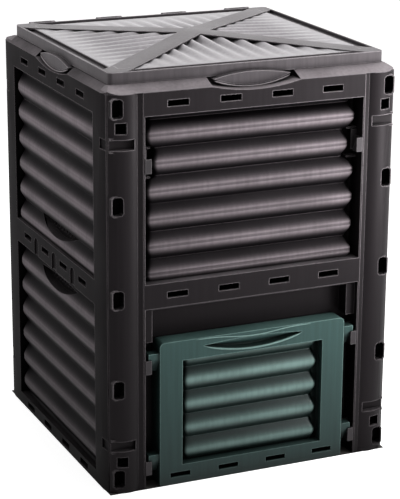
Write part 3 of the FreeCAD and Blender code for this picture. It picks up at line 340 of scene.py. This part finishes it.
def in_field(wall, half, depths, bands):
    """Test for the CAD faces that a corrugated field takes the place of.

    A face goes when all its corners are inside the field's width, depths and heights, unless it
    lies in one of the planes that bound the field.
    """
    near = 5e-5

    def test(corners):
        along = corners[..., 1 - WALLS[wall][0]]
        depth = wall_depth(wall, corners)
        height = corners[..., 2]
        gone = np.zeros(len(corners), bool)
        for low, high in bands:
            inside = ((np.abs(along) < half + near)
                      & (depth > depths[0] - near) & (depth < depths[1] + near)
                      & (height > low - near) & (height < high + near)).all(axis=1)
            border = np.zeros(len(corners), bool)
            for value, plane in ((along, OPENING_HALF), (along, -OPENING_HALF),
                                 (height, low), (height, high)):
                border |= (np.abs(value - plane) < near).all(axis=1)
            gone |= inside & ~border
        return gone
    return test


def wall_shell(wall, half, depths, bands):
    """A wall's CAD node, open where its fields go."""
    return finished_copy(f"{wall}_frame", f"{wall}_wall", "bin",
                         in_field(wall, half, depths, bands))


end_shells = [wall_shell("front", *END_CUT, [UPPER_CUT]),
              wall_shell("back", *END_CUT, [UPPER_CUT, LOWER_CUT])]
side_shells = [wall_shell(wall, *SIDE_CUT, [UPPER_CUT, LOWER_CUT]) for wall in ("left", "right")]
end_fields = [
    field("front_field", "front", UPPER_ROWS, UPPER_CREST, half_at=with_pockets, **END),
    field("back_upper_field", "back", UPPER_ROWS, UPPER_CREST,
          half_at=scalloped(FACE_HALF, UPPER_CREST, PITCH, END_BITE), **END),
    field("back_lower_field", "back", LOWER_ROWS, LOWER_CREST,
          half_at=scalloped(FACE_HALF, LOWER_CREST, PITCH, END_BITE), **END),
]
side_fields = [
    field(f"{wall}_{level}_field", wall, rows, crest, half_at=even_width,
          vent=(vent_level, *VENT_LENS), **SIDE)
    for wall in ("left", "right")
    for level, rows, crest, vent_level in (("upper", UPPER_ROWS, UPPER_CREST, UPPER_VENT),
                                           ("lower", LOWER_ROWS, LOWER_CREST, LOWER_VENT))
]
fit(end_fields + side_fields, "bin")


# Hatch

# One crest of the pane's waves, and their pitch.
PANE_CREST, PANE_PITCH = 0.0635, 0.0495
# Half width, depths and heights of the CAD faces that the pane takes the place of.
PANE_CUT = (0.152, (0.0089, 0.0251), [(0.041, 0.259)])
# The finger scoop is a lens: its level, half width, rise over the level and drop under it.
GRIP_LEVEL, GRIP_HALF, GRIP_RISE, GRIP_DROP = 0.283, 0.108, 0.006, 0.017
GRIP_DEPTH, GRIP_SHEET = 0.009, 0.0025
# The line between the scoop and the waves dips in its middle, over this half width.
CREST_LEVEL, CREST_DIP, CREST_DIP_HALF = 0.2975, 0.0070, 0.1


def grip_brow():
    """Hollow of the finger scoop as a closed sheet, from the scoop's upper arc to its lower one.

    It covers 60 percent of the scoop's height. Its depth behind the face is GRIP_DEPTH times one
    less the cosine of a quarter turn's share of the way down.
    """
    along = np.linspace(-0.996 * GRIP_HALF, 0.996 * GRIP_HALF, 121)[None, :]
    down = np.linspace(0, 1, 17)[:, None]
    upper = arc_height(along, GRIP_LEVEL, GRIP_HALF, GRIP_RISE) + 0.0004
    lower = arc_height(along, GRIP_LEVEL, GRIP_HALF, -GRIP_DROP)
    height = upper - 0.6 * down * (upper - lower)
    depth = 0.0003 + GRIP_DEPTH * (1 - np.cos(down * math.pi / 2)) + 0 * along
    outer = np.stack([along + 0 * down, depth, height], axis=-1).reshape(-1, 3)
    inner = outer + [0, GRIP_SHEET, 0]
    front, rear = two_tables(height.shape)
    return closed_piece("hatch_grip_brow", on_wall("front", np.concatenate([outer, inner])),
                        [quads(front), quads(rear)[:, ::-1]] + rim(front, rear))


def hatch_bead(name, along, height, radius):
    """Raised line on the hatch's face, along a curve given by its heights."""
    path = on_wall("front", np.column_stack([along, 0 * along, height]))
    return bead(name, path, (0, -1, 0), radius)


hatch_shell = finished_copy("hatch_frame", "hatch", "hatch",
                            in_field("front", *PANE_CUT))
pane = field("hatch_waves", "front", (0.039, 0.261), PANE_CREST, groove=0, setback=0.009,
             wave=0.012, pitch=PANE_PITCH, back=0.0245, flange=0.1535, bend=(0.010, 0.012),
             half_at=scalloped(0.147, PANE_CREST, PANE_PITCH, 0.005))
lip_line = np.linspace(-0.102, 0.102, 121)
crest_line = np.linspace(-0.125, 0.125, 121)
crest_dip = CREST_DIP * (0.5 + 0.5 * np.cos(np.pi * np.clip(crest_line / CREST_DIP_HALF, -1, 1)))
# The lip and the crest line take the crest colour in full, as painted highlight lines.
grip_pieces = [
    grip_brow(),
    hatch_bead("hatch_grip_lip", lip_line,
               arc_height(lip_line, GRIP_LEVEL, GRIP_HALF, -GRIP_DROP) - 0.0012, radius=0.0022),
    hatch_bead("hatch_grip_crest", crest_line, CREST_LEVEL - crest_dip, radius=0.0013),
]
fit([pane] + grip_pieces, "hatch")


# Lid

# Its raised frame reaches LID_HALF to the sides, LID_FRONT forwards and LID_BACK backwards, with a
# curb round the four fields. A band reaches BAND_REACH from its diagonal.
LID_HALF, LID_FRONT, LID_BACK, LID_CURB = 0.288, 0.2705, 0.264, 0.02675
LID_CENTRE = (LID_BACK - LID_FRONT) / 2
INNER_X, INNER_Y = LID_HALF - LID_CURB, (LID_FRONT + LID_BACK) / 2 - LID_CURB
DIAGONAL = math.hypot(INNER_X, INNER_Y)
BAND_REACH = 0.018
# Heights of the curb, of the fields' rim and of their highest crest.
LID_RIM, LID_LEVEL, LID_CREST = 0.8284, 0.8269, 0.8409
LID_PITCH, LID_WAVE, LID_SHEET = 0.0325, 0.013, 0.0025
# A tab's scoop is an arc: its level, half width, drop, and how far it stands off the frame.
TAB_LEVEL, TAB_HALF, TAB_DROP, TAB_PROUD = 0.799, 0.081, 0.016, 0.010


def lid_field(name, across_half, near, tip, turn):
    """Triangular field of the lid as a closed shell, from the rim to its tip under the bands.

    The way along runs from near, at the rim, to the tip, and the width shrinks in proportion. The
    height is the rim's level plus, in proportion to the way from the rim to the lid's middle, 1 mm
    and a wave: LID_WAVE times half of one plus the cosine of a turn for each pitch across. turn
    gives the x and the y of a place, each as shares of the ways across and along.
    """
    rows = np.linspace(0, 1, 61)[:, None]
    columns = np.linspace(-1, 1, 301)[None, :]
    along = near + rows * (tip - near) + 0 * columns
    across = columns * across_half * (1 - rows * 0.999)
    share = (along - near) / -near
    wave = 0.5 + 0.5 * np.cos(2 * np.pi * across / LID_PITCH)
    top = LID_LEVEL + share * (0.001 + LID_WAVE * wave)
    level = np.stack([across, along], axis=-1).reshape(-1, 2) @ np.transpose(turn)
    grid = np.column_stack([level + [0, LID_CENTRE], top.ravel()])
    outer, inner = two_tables(top.shape)
    piece = closed_piece(name, np.concatenate([grid, grid - [0, 0, LID_SHEET]]),
                         [quads(outer), quads(inner)[:, ::-1]] + rim(inner, outer))
    # Painted sheen: the field is marked 0.74 at its rim and valleys, rising to 1 on its crests.
    height = (point_places(piece.data)[:, 2] - LID_LEVEL) / LID_WAVE
    mark_painted_highlight(piece.data, 0.74 + 0.26 * height)
    return piece


def lid_face(corners):
    """Test for the CAD faces of the lid's waved fields: sloping, inside the curb, off the bands."""
    low, high = corners[..., 2].min(axis=1), corners[..., 2].max(axis=1)
    normal = np.cross(corners[:, 1] - corners[:, 0], corners[:, 2] - corners[:, 0])
    length = np.linalg.norm(normal, axis=1)
    upright = np.abs(normal[:, 2]) / np.maximum(length, 1e-12)
    offset = np.abs(corners.mean(axis=1)[:, :2] - [0, LID_CENTRE])
    from_band = np.abs(offset[:, 0] * INNER_Y - offset[:, 1] * INNER_X) / DIAGONAL
    inside = (offset < np.array([INNER_X, INNER_Y]) + 0.0005).all(axis=1)
    in_height = (low > LID_LEVEL - 0.0034) & (high < LID_CREST + 0.0001)
    on_band = (from_band < 0.0245) & (upright > 0.9975)
    return inside & in_height & (from_band > BAND_REACH - 0.0005) & ~on_band


def band_web(name, way):
    """Upright web under one diagonal band, as a closed strip 2 mm thick.

    It follows the diagonal from corner to corner. Its top is 2 mm inside the band, whose height
    over the rim is 14 mm times the smaller of 1 and the way from the corner over 95.4 percent of
    the half diagonal, and its foot is level, 6 mm under the fields' rim.
    """
    share = np.linspace(-0.985, 0.985, 41)
    top = LID_RIM + 0.014 * np.minimum(1, (1 - np.abs(share)) / 0.954) - 0.002
    foot = np.full_like(top, LID_LEVEL - 0.006)
    along = np.stack([share * INNER_X, way * share * INNER_Y + LID_CENTRE], axis=1)
    aside = np.array([-way * INNER_Y, INNER_X]) / DIAGONAL * 0.001
    grid = np.stack([np.column_stack([along + aside * side, height]) for side, height in
                     ((1, foot), (1, top), (-1, top), (-1, foot), (1, foot))])
    table = np.arange(grid.shape[0] * grid.shape[1]).reshape(grid.shape[:2])
    faces = [quads(table), table[:4, 0][None, ::-1], table[:4, -1][None, :]]
    return closed_piece(name, grid.reshape(-1, 3), faces, degrees=WEB_SHARP)


def tab_lip(side, outward, distance):
    """Raised lip under one of the lid's tabs, along the lower arc of the tab's scoop."""
    reach = np.linspace(-0.079, 0.079, 81)
    height = arc_height(reach, TAB_LEVEL, TAB_HALF, -TAB_DROP) + 0.0012
    path = np.column_stack([outward[0] * distance - outward[1] * reach,
                            outward[1] * distance + outward[0] * reach, height])
    return bead(f"lid_tab_lip_{side}", path, (*outward, 0), radius=0.0019)


lid_shell = finished_copy("lid_frame", "lid", "lid", lid_face)
# A field's tip is where the bands' edges would meet, and its rim goes 1 mm into the curb.
tuck_x, tuck_y = BAND_REACH * DIAGONAL / INNER_Y, BAND_REACH * DIAGONAL / INNER_X
wide, deep = INNER_X + 0.001, INNER_Y + 0.001
lid_fields = [
    lid_field("lid_field_front", wide - tuck_x, -deep, -tuck_y, ((1, 0), (0, 1))),
    lid_field("lid_field_back", wide - tuck_x, -deep, -tuck_y, ((1, 0), (0, -1))),
    lid_field("lid_field_left", deep - tuck_y, -wide, -tuck_x, ((0, 1), (1, 0))),
    lid_field("lid_field_right", deep - tuck_y, -wide, -tuck_x, ((0, -1), (1, 0))),
]
webs = [band_web("lid_web_rising", 1), band_web("lid_web_falling", -1)]
# Each tab lip takes the crest colour in full, as a painted highlight line.
tab_lips = [
    tab_lip("front", (0, -1), LID_FRONT + TAB_PROUD),
    tab_lip("left", (-1, 0), LID_HALF + TAB_PROUD),
    tab_lip("right", (1, 0), LID_HALF + TAB_PROUD),
]
fit(lid_fields + webs + tab_lips, "lid")


# Nodes that the materials and the floor share

def math_node(tree, operation, first, second=None, clamp=False):
    """Output of a Math node, whose inputs are numbers or sockets."""
    node = tree.nodes.new("ShaderNodeMath")
    node.operation = operation
    node.use_clamp = clamp
    for socket, value in zip(node.inputs, (first, second)):
        if isinstance(value, (int, float)):
            socket.default_value = value
        elif value is not None:
            tree.links.new(value, socket)
    return node.outputs[0]


def spread(tree, value, low, high, to_low, to_high):
    """Value carried from one range to another, and held within it."""
    node = tree.nodes.new("ShaderNodeMapRange")
    for label, number in (("From Min", low), ("From Max", high),
                          ("To Min", to_low), ("To Max", to_high)):
        node.inputs[label].default_value = number
    tree.links.new(value, node.inputs["Value"])
    return node.outputs["Result"]


def mixed_colour(tree, amount, first, second):
    """The first colour where amount is 0 and the second where it is 1, as colours or sockets."""
    node = tree.nodes.new("ShaderNodeMix")
    node.data_type = "RGBA"
    tree.links.new(amount, node.inputs["Factor"])
    for socket, colour in ((node.inputs[6], first), (node.inputs[7], second)):
        if isinstance(colour, tuple):
            socket.default_value = (*colour, 1)
        else:
            tree.links.new(colour, socket)
    return node.outputs[2]


def split_vector(tree, vector):
    """The three parts of a vector, by the names X, Y and Z."""
    node = tree.nodes.new("ShaderNodeSeparateXYZ")
    tree.links.new(vector, node.inputs[0])
    return node.outputs


def noise(tree, place, scale, detail, stretch):
    """Noise at a place. A stretch under 1 draws it out upwards."""
    drawn = tree.nodes.new("ShaderNodeMapping")
    drawn.inputs["Scale"].default_value = (1, 1, stretch)
    tree.links.new(place, drawn.inputs["Vector"])
    node = tree.nodes.new("ShaderNodeTexNoise")
    node.inputs["Scale"].default_value = scale
    node.inputs["Detail"].default_value = detail
    tree.links.new(drawn.outputs["Vector"], node.inputs["Vector"])
    return node.outputs["Fac"]


def background_rays(tree):
    """1 for the rays that see the background: camera, glossy and transmission rays."""
    path = tree.nodes.new("ShaderNodeLightPath").outputs
    seen = math_node(tree, "MAXIMUM", path["Is Camera Ray"], path["Is Glossy Ray"])
    return math_node(tree, "MAXIMUM", seen, path["Is Transmission Ray"])


# Finishes, with painted highlights and painted shade

# Radius that shows up the worn edges and their painted highlight, and the height over which a
# painted shade darkens the plastic towards the ground.
EDGE_RADIUS = 0.003
BIN_HEIGHT = 0.84


def moulded_finish_and_painted_light():
    """Finish of moulded plastic from a base colour, with painted highlights and painted shade.

    Wave crests, by the fourth power of the attribute crest, turn to the crest colour as a painted
    highlight, and so do outer edges, by the angle between the true normal and one rounded over
    EDGE_RADIUS, as worn edges with a painted edge highlight. Faces that look up take a patchy coat
    of the colour Dust And Top Shading: dust with painted light from above on frames, lid and hatch,
    and painted shade on the waves' upper flanks. Recesses darken with ambient occlusion within the
    distance Hollow, as painted shade, upright streaks make the shade waver by a ninth, and a
    painted shade darkens it towards the ground. The roughness drifts with broad flow marks, and
    Grain is a fine pattern for a bump.
    """
    group = bpy.data.node_groups.new("moulded_finish_and_painted_light", "ShaderNodeTree")
    for label, kind in (("Colour", "Color"), ("Crest", "Color"), ("Dust And Top Shading", "Color"),
                        ("Rough", "Float"), ("Dust And Shading Amount", "Float"), ("Edge Wear And Highlight", "Float"),
                        ("Hollow", "Float")):
        group.interface.new_socket(label, in_out="INPUT", socket_type=f"NodeSocket{kind}")
    for label, kind in (("Colour", "Color"), ("Rough", "Float"), ("Grain", "Float")):
        group.interface.new_socket(label, in_out="OUTPUT", socket_type=f"NodeSocket{kind}")
    add, link = group.nodes.new, group.links.new
    source = add("NodeGroupInput").outputs
    result = add("NodeGroupOutput").inputs

    place = add("ShaderNodeTexCoord").outputs["Object"]
    broad = noise(group, place, 9, 5, 1)
    fine = noise(group, place, 900, 3, 1)
    streaks = noise(group, place, 150, 4, 0.05)
    normal = add("ShaderNodeNewGeometry").outputs["Normal"]

    # Painted highlight on crests and beads, from the crest mark.
    crest = add("ShaderNodeAttribute")
    crest.attribute_name = "crest"
    raised = math_node(group, "POWER", crest.outputs["Fac"], 4.0)
    raised = math_node(group, "MULTIPLY", raised, spread(group, broad, 0.3, 0.7, 0.75, 1.15),
                       clamp=True)

    # Worn outer edges, with a painted edge highlight in the crest colour.
    rounded = add("ShaderNodeBevel")
    rounded.samples = 4
    rounded.inputs["Radius"].default_value = EDGE_RADIUS
    turned = add("ShaderNodeVectorMath")
    turned.operation = "DOT_PRODUCT"
    link(rounded.outputs["Normal"], turned.inputs[0])
    link(normal, turned.inputs[1])
    edge = spread(group, turned.outputs["Value"], 0.98, 0.80, 0, 0.8)
    # Ambient occlusion keeps the edge highlight out of recesses and paints shade into them.
    hollow = add("ShaderNodeAmbientOcclusion")
    hollow.samples = 6
    link(source["Hollow"], hollow.inputs["Distance"])
    openness = hollow.outputs["AO"]
    edge = math_node(group, "MULTIPLY", edge,
                     math_node(group, "MULTIPLY", source["Edge Wear And Highlight"], openness), clamp=True)
    highlight_and_wear = math_node(group, "MAXIMUM", raised, edge)
    colour = mixed_colour(group, highlight_and_wear, source["Colour"], source["Crest"])

    # Faces that look up: dust with painted top light on frames, lid and hatch, and painted shade on
    # the waves' upper flanks.
    upward = spread(group, split_vector(group, normal)["Z"], 0.2, 1.0, 0, 1)
    amount = math_node(group, "MULTIPLY", math_node(group, "MULTIPLY", upward, broad),
                       source["Dust And Shading Amount"])
    colour = mixed_colour(group, amount, colour, source["Dust And Top Shading"])

    # Painted shade in recesses, with upright streaks of tone.
    shade = math_node(group, "MULTIPLY", spread(group, openness, 0.35, 0.95, 0.18, 1.0),
                      spread(group, streaks, 0.3, 0.7, 0.89, 1.11))
    # Painted shade, darker towards the ground.
    height = split_vector(group, place)["Z"]
    shade = math_node(group, "MULTIPLY", shade, spread(group, height, 0.0, BIN_HEIGHT, 0.22, 1.36))
    scaled = add("ShaderNodeVectorMath")
    scaled.operation = "SCALE"
    link(colour, scaled.inputs[0])
    link(shade, scaled.inputs["Scale"])
    link(scaled.outputs["Vector"], result["Colour"])
    drift = spread(group, broad, 0.3, 0.7, -0.05, 0.05)
    link(math_node(group, "ADD", source["Rough"], drift), result["Rough"])
    link(fine, result["Grain"])
    return group


FINISH_AND_PAINTED_LIGHT = moulded_finish_and_painted_light()


def plastic(name, colour, crest, dust_and_top_shading, rough, level, dust_and_shading_amount=1.5, edge_wear_and_highlight=1.0, hollow=0.045,
            bump=0.25, sheen_tint=(1, 0.9, 0.95)):
    """Moulded plastic: level is the specular level, and edge_wear_and_highlight says how light the
    outer edges get, as worn edges with a painted highlight. crest is the colour of the painted
    highlights, dust_and_top_shading the colour that faces looking up take, and hollow the reach of
    the painted shade in recesses.
    """
    material = bpy.data.materials.new(name)
    material.use_nodes = True
    nodes, links = material.node_tree.nodes, material.node_tree.links
    shader = nodes["Principled BSDF"]
    shader.inputs["IOR"].default_value = 1.5
    shader.inputs["Specular IOR Level"].default_value = level
    shader.inputs["Specular Tint"].default_value = (*sheen_tint, 1)
    light_and_finish = nodes.new("ShaderNodeGroup")
    light_and_finish.node_tree = FINISH_AND_PAINTED_LIGHT
    for label, value in (("Colour", (*colour, 1)), ("Crest", (*crest, 1)), ("Dust And Top Shading", (*dust_and_top_shading, 1)),
                         ("Rough", rough), ("Dust And Shading Amount", dust_and_shading_amount), ("Edge Wear And Highlight", edge_wear_and_highlight), ("Hollow", hollow)):
        light_and_finish.inputs[label].default_value = value
    links.new(light_and_finish.outputs["Colour"], shader.inputs["Base Color"])
    links.new(light_and_finish.outputs["Rough"], shader.inputs["Roughness"])
    soft_edge = nodes.new("ShaderNodeBevel")
    soft_edge.samples = 6
    soft_edge.inputs["Radius"].default_value = 0.0013
    raised = nodes.new("ShaderNodeBump")
    links.new(soft_edge.outputs["Normal"], raised.inputs["Normal"])
    raised.inputs["Strength"].default_value = bump
    raised.inputs["Distance"].default_value = 0.0002
    links.new(light_and_finish.outputs["Grain"], raised.inputs["Height"])
    links.new(raised.outputs["Normal"], shader.inputs["Normal"])
    return material


def paint(pieces, material):
    """Give every piece the material as its only one."""
    for piece in pieces:
        piece.data.materials.clear()
        piece.data.materials.append(material)


# Frames: crest is the painted highlight on worn edges, and the top colour is dust with painted
# light from above.
paint(end_shells, plastic(
    "frame_plastic", (0.0135, 0.0115, 0.0127), crest=(0.30, 0.27, 0.285),
    dust_and_top_shading=(0.34, 0.305, 0.322), rough=0.46, level=0.10, edge_wear_and_highlight=1.4, hollow=0.08, bump=0.4))
# Side frames: a shaded copy of the frame plastic, with a low specular level and a dimmer top colour
# that paint the side walls darker.
paint(side_shells, plastic(
    "side_frame_plastic", (0.013, 0.0114, 0.0124), crest=(0.30, 0.27, 0.285),
    dust_and_top_shading=(0.24, 0.216, 0.228), rough=0.60, level=0.02, hollow=0.08))
# Front and back fields: a shaded copy whose dark base paints the valleys' shade, whose crest is a
# painted highlight and whose top colour paints shade on the upper flanks.
paint(end_fields, plastic(
    "wave_plastic", (0.006, 0.005, 0.006), crest=(0.30, 0.257, 0.278),
    dust_and_top_shading=(0.003, 0.0025, 0.003), rough=0.44, level=0.07, dust_and_shading_amount=2.0))
# Side fields: a shaded copy like the front fields, with a low specular level that paints the side
# walls darker.
paint(side_fields, plastic(
    "side_wave_plastic", (0.006, 0.005, 0.006), crest=(0.29, 0.25, 0.27),
    dust_and_top_shading=(0.004, 0.003, 0.004), rough=0.50, level=0.02, dust_and_shading_amount=1.6))
# Keepers and pins: crest is the painted highlight on worn edges, and the top colour is dust with
# painted light from above.
paint([node for name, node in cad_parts.items() if "keeper" in name or "pin" in name], plastic(
    "keeper_plastic", (0.030, 0.028, 0.030), crest=(0.20, 0.185, 0.195),
    dust_and_top_shading=(0.30, 0.28, 0.29), rough=0.50, level=0.3))
# Lid frame, webs and tab lips: a lighter copy of the black plastic that paints the lid's sheen,
# with strong painted edge highlights and the lips as painted highlight lines.
paint([lid_shell] + webs + tab_lips, plastic(
    "lid_plastic", (0.080, 0.072, 0.077), crest=(0.34, 0.31, 0.325),
    dust_and_top_shading=(0.11, 0.10, 0.105), rough=0.52, level=0.16, dust_and_shading_amount=0.5, edge_wear_and_highlight=2.2, hollow=0.012, bump=0.7))
# Lid fields: lighter still and marked as crest almost all over, a painted sheen.
paint(lid_fields, plastic(
    "lid_wave_plastic", (0.12, 0.113, 0.12), crest=(0.44, 0.42, 0.44),
    dust_and_top_shading=(0.2, 0.19, 0.2), rough=0.48, level=0.5, dust_and_shading_amount=0, hollow=0.008))
# Hatch: its own green, with painted highlights on worn edges and on the scoop's beads, and a top
# colour of dust with painted light from above.
paint([hatch_shell] + grip_pieces, plastic(
    "green_plastic", (0.052, 0.110, 0.103), crest=(0.32, 0.50, 0.47),
    dust_and_top_shading=(0.17, 0.30, 0.275), rough=0.46, level=0.18, dust_and_shading_amount=1.0, edge_wear_and_highlight=1.5, bump=0.4,
    sheen_tint=(1, 1, 1)))
# Pane: a shaded copy of the green whose dark base paints the valleys' shade, whose crest is a
# painted highlight and whose top colour paints shade on the upper flanks.
paint([pane], plastic(
    "green_wave_plastic", (0.012, 0.030, 0.027), crest=(0.33, 0.50, 0.465),
    dust_and_top_shading=(0.004, 0.010, 0.009), rough=0.36, level=0.16, dust_and_shading_amount=1.6, sheen_tint=(0.9, 1, 1)))


# Floor: pale, and a dark patch painted as shade where the bin stands, which has no bottom

# The glow is what the background rays see on top of the floor's own shade.
FLOOR_HALF, SHADE_PATCH_HALF, GLOW = 60, 0.3035, 0.8

floor_mesh = bpy.data.meshes.new("floor")
floor_mesh.from_pydata([(x * FLOOR_HALF, y * FLOOR_HALF, 0)
                        for x, y in ((-1, -1), (1, -1), (1, 1), (-1, 1))], [], [(0, 1, 2, 3)])
floor = bpy.data.objects.new("floor", floor_mesh)
bpy.context.scene.collection.objects.link(floor)
pale = bpy.data.materials.new("pale_floor")
pale.use_nodes = True
tree = pale.node_tree
surface = tree.nodes["Principled BSDF"]
surface.inputs["Roughness"].default_value = 0.8
place = split_vector(tree, tree.nodes.new("ShaderNodeTexCoord").outputs["Object"])
# Painted shade: the patch under the bin is dark and has no glow, so its slots show black.
off_shade_patch = math_node(tree, "MAXIMUM", *[
    math_node(tree, "GREATER_THAN", math_node(tree, "ABSOLUTE", place[axis]), SHADE_PATCH_HALF)
    for axis in "XY"])
tree.links.new(mixed_colour(tree, off_shade_patch, (0.02, 0.018, 0.016), (0.75, 0.75, 0.75)),
               surface.inputs["Base Color"])
glow = tree.nodes.new("ShaderNodeEmission")
tree.links.new(math_node(tree, "MULTIPLY", off_shade_patch, GLOW), glow.inputs["Strength"])
glowing = tree.nodes.new("ShaderNodeAddShader")
tree.links.new(surface.outputs[0], glowing.inputs[0])
tree.links.new(glow.outputs[0], glowing.inputs[1])
choice = tree.nodes.new("ShaderNodeMixShader")
tree.links.new(background_rays(tree), choice.inputs["Fac"])
tree.links.new(surface.outputs[0], choice.inputs[1])
tree.links.new(glowing.outputs[0], choice.inputs[2])
tree.links.new(choice.outputs[0], tree.nodes["Material Output"].inputs["Surface"])
floor_mesh.materials.append(pale)


# World and lamps

ROOM_LIGHT = 0.3

world = bpy.context.scene.world or bpy.data.worlds.new("studio")
bpy.context.scene.world = world
world.use_nodes = True
tree = world.node_tree
room = tree.nodes["Background"]
white = tree.nodes.new("ShaderNodeBackground")
for background, strength in ((room, ROOM_LIGHT), (white, 1.0)):
    background.inputs["Color"].default_value = (1, 1, 1, 1)
    background.inputs["Strength"].default_value = strength
choice = tree.nodes.new("ShaderNodeMixShader")
tree.links.new(background_rays(tree), choice.inputs["Fac"])
tree.links.new(room.outputs[0], choice.inputs[1])
tree.links.new(white.outputs[0], choice.inputs[2])
tree.links.new(choice.outputs[0], tree.nodes["World Output"].inputs["Surface"])


def softbox(name, at, towards, size, radiance):
    """Rectangular lamp with the given radiance: power is radiance times area times pi."""
    lamp = bpy.data.lights.new(name, "AREA")
    lamp.shape = "RECTANGLE"
    lamp.size, lamp.size_y = size
    lamp.energy = radiance * size[0] * size[1] * math.pi
    light = bpy.data.objects.new(name, lamp)
    light.location = at
    light.rotation_euler = (Vector(towards) - Vector(at)).to_track_quat("-Z", "Y").to_euler()
    light.visible_camera = False
    bpy.context.scene.collection.objects.link(light)


softbox("low_front_softbox", (0.74, -0.84, 0.52), (0.24, -0.3, 0.57), (0.40, 0.40), 19.0)
softbox("high_front_softbox", (0.6, -0.9, 1.45), (0.1, -0.25, 0.7), (0.6, 0.3), 9.0)
softbox("overhead_softbox", (0.4, 0.0, 2.6), (0, 0, 0.8), (1.4, 1.4), 2.0)
softbox("back_softbox", (1.1, 2.3, 1.75), (0, 0, 0.84), (2.6, 1.3), 2.0)
softbox("back_left_softbox", (-1.9, 0.9, 1.15), (-0.3, 0, 0.6), (1.0, 0.9), 2.2)


# Camera

# Its distance, and its focal length in pixels of a picture that is PICTURE_HEIGHT pixels high.
AZIMUTH, ELEVATION, ROLL = math.radians(-24.01), math.radians(17.20), math.radians(0.40)
DISTANCE = 3.9610
TARGET = Vector((0.01861, 0, 0.37653))
FOCAL_PIXELS, PICTURE_HEIGHT, SENSOR_HEIGHT = 1892, 499, 24

away = Vector((math.sin(AZIMUTH) * math.cos(ELEVATION), -math.cos(AZIMUTH) * math.cos(ELEVATION),
               math.sin(ELEVATION)))
camera_data = bpy.data.cameras.new("camera")
camera_data.sensor_fit = "VERTICAL"
camera_data.sensor_height = SENSOR_HEIGHT
camera_data.lens = FOCAL_PIXELS / PICTURE_HEIGHT * SENSOR_HEIGHT
camera = bpy.data.objects.new("camera", camera_data)
turned = away.to_track_quat("Z", "Y").to_matrix() @ Matrix.Rotation(ROLL, 3, "Z")
camera.matrix_world = Matrix.Translation(TARGET + away * DISTANCE) @ turned.to_4x4()
bpy.context.scene.collection.objects.link(camera)
bpy.context.scene.camera = camera
bpy.context.scene.view_settings.view_transform = "Standard"
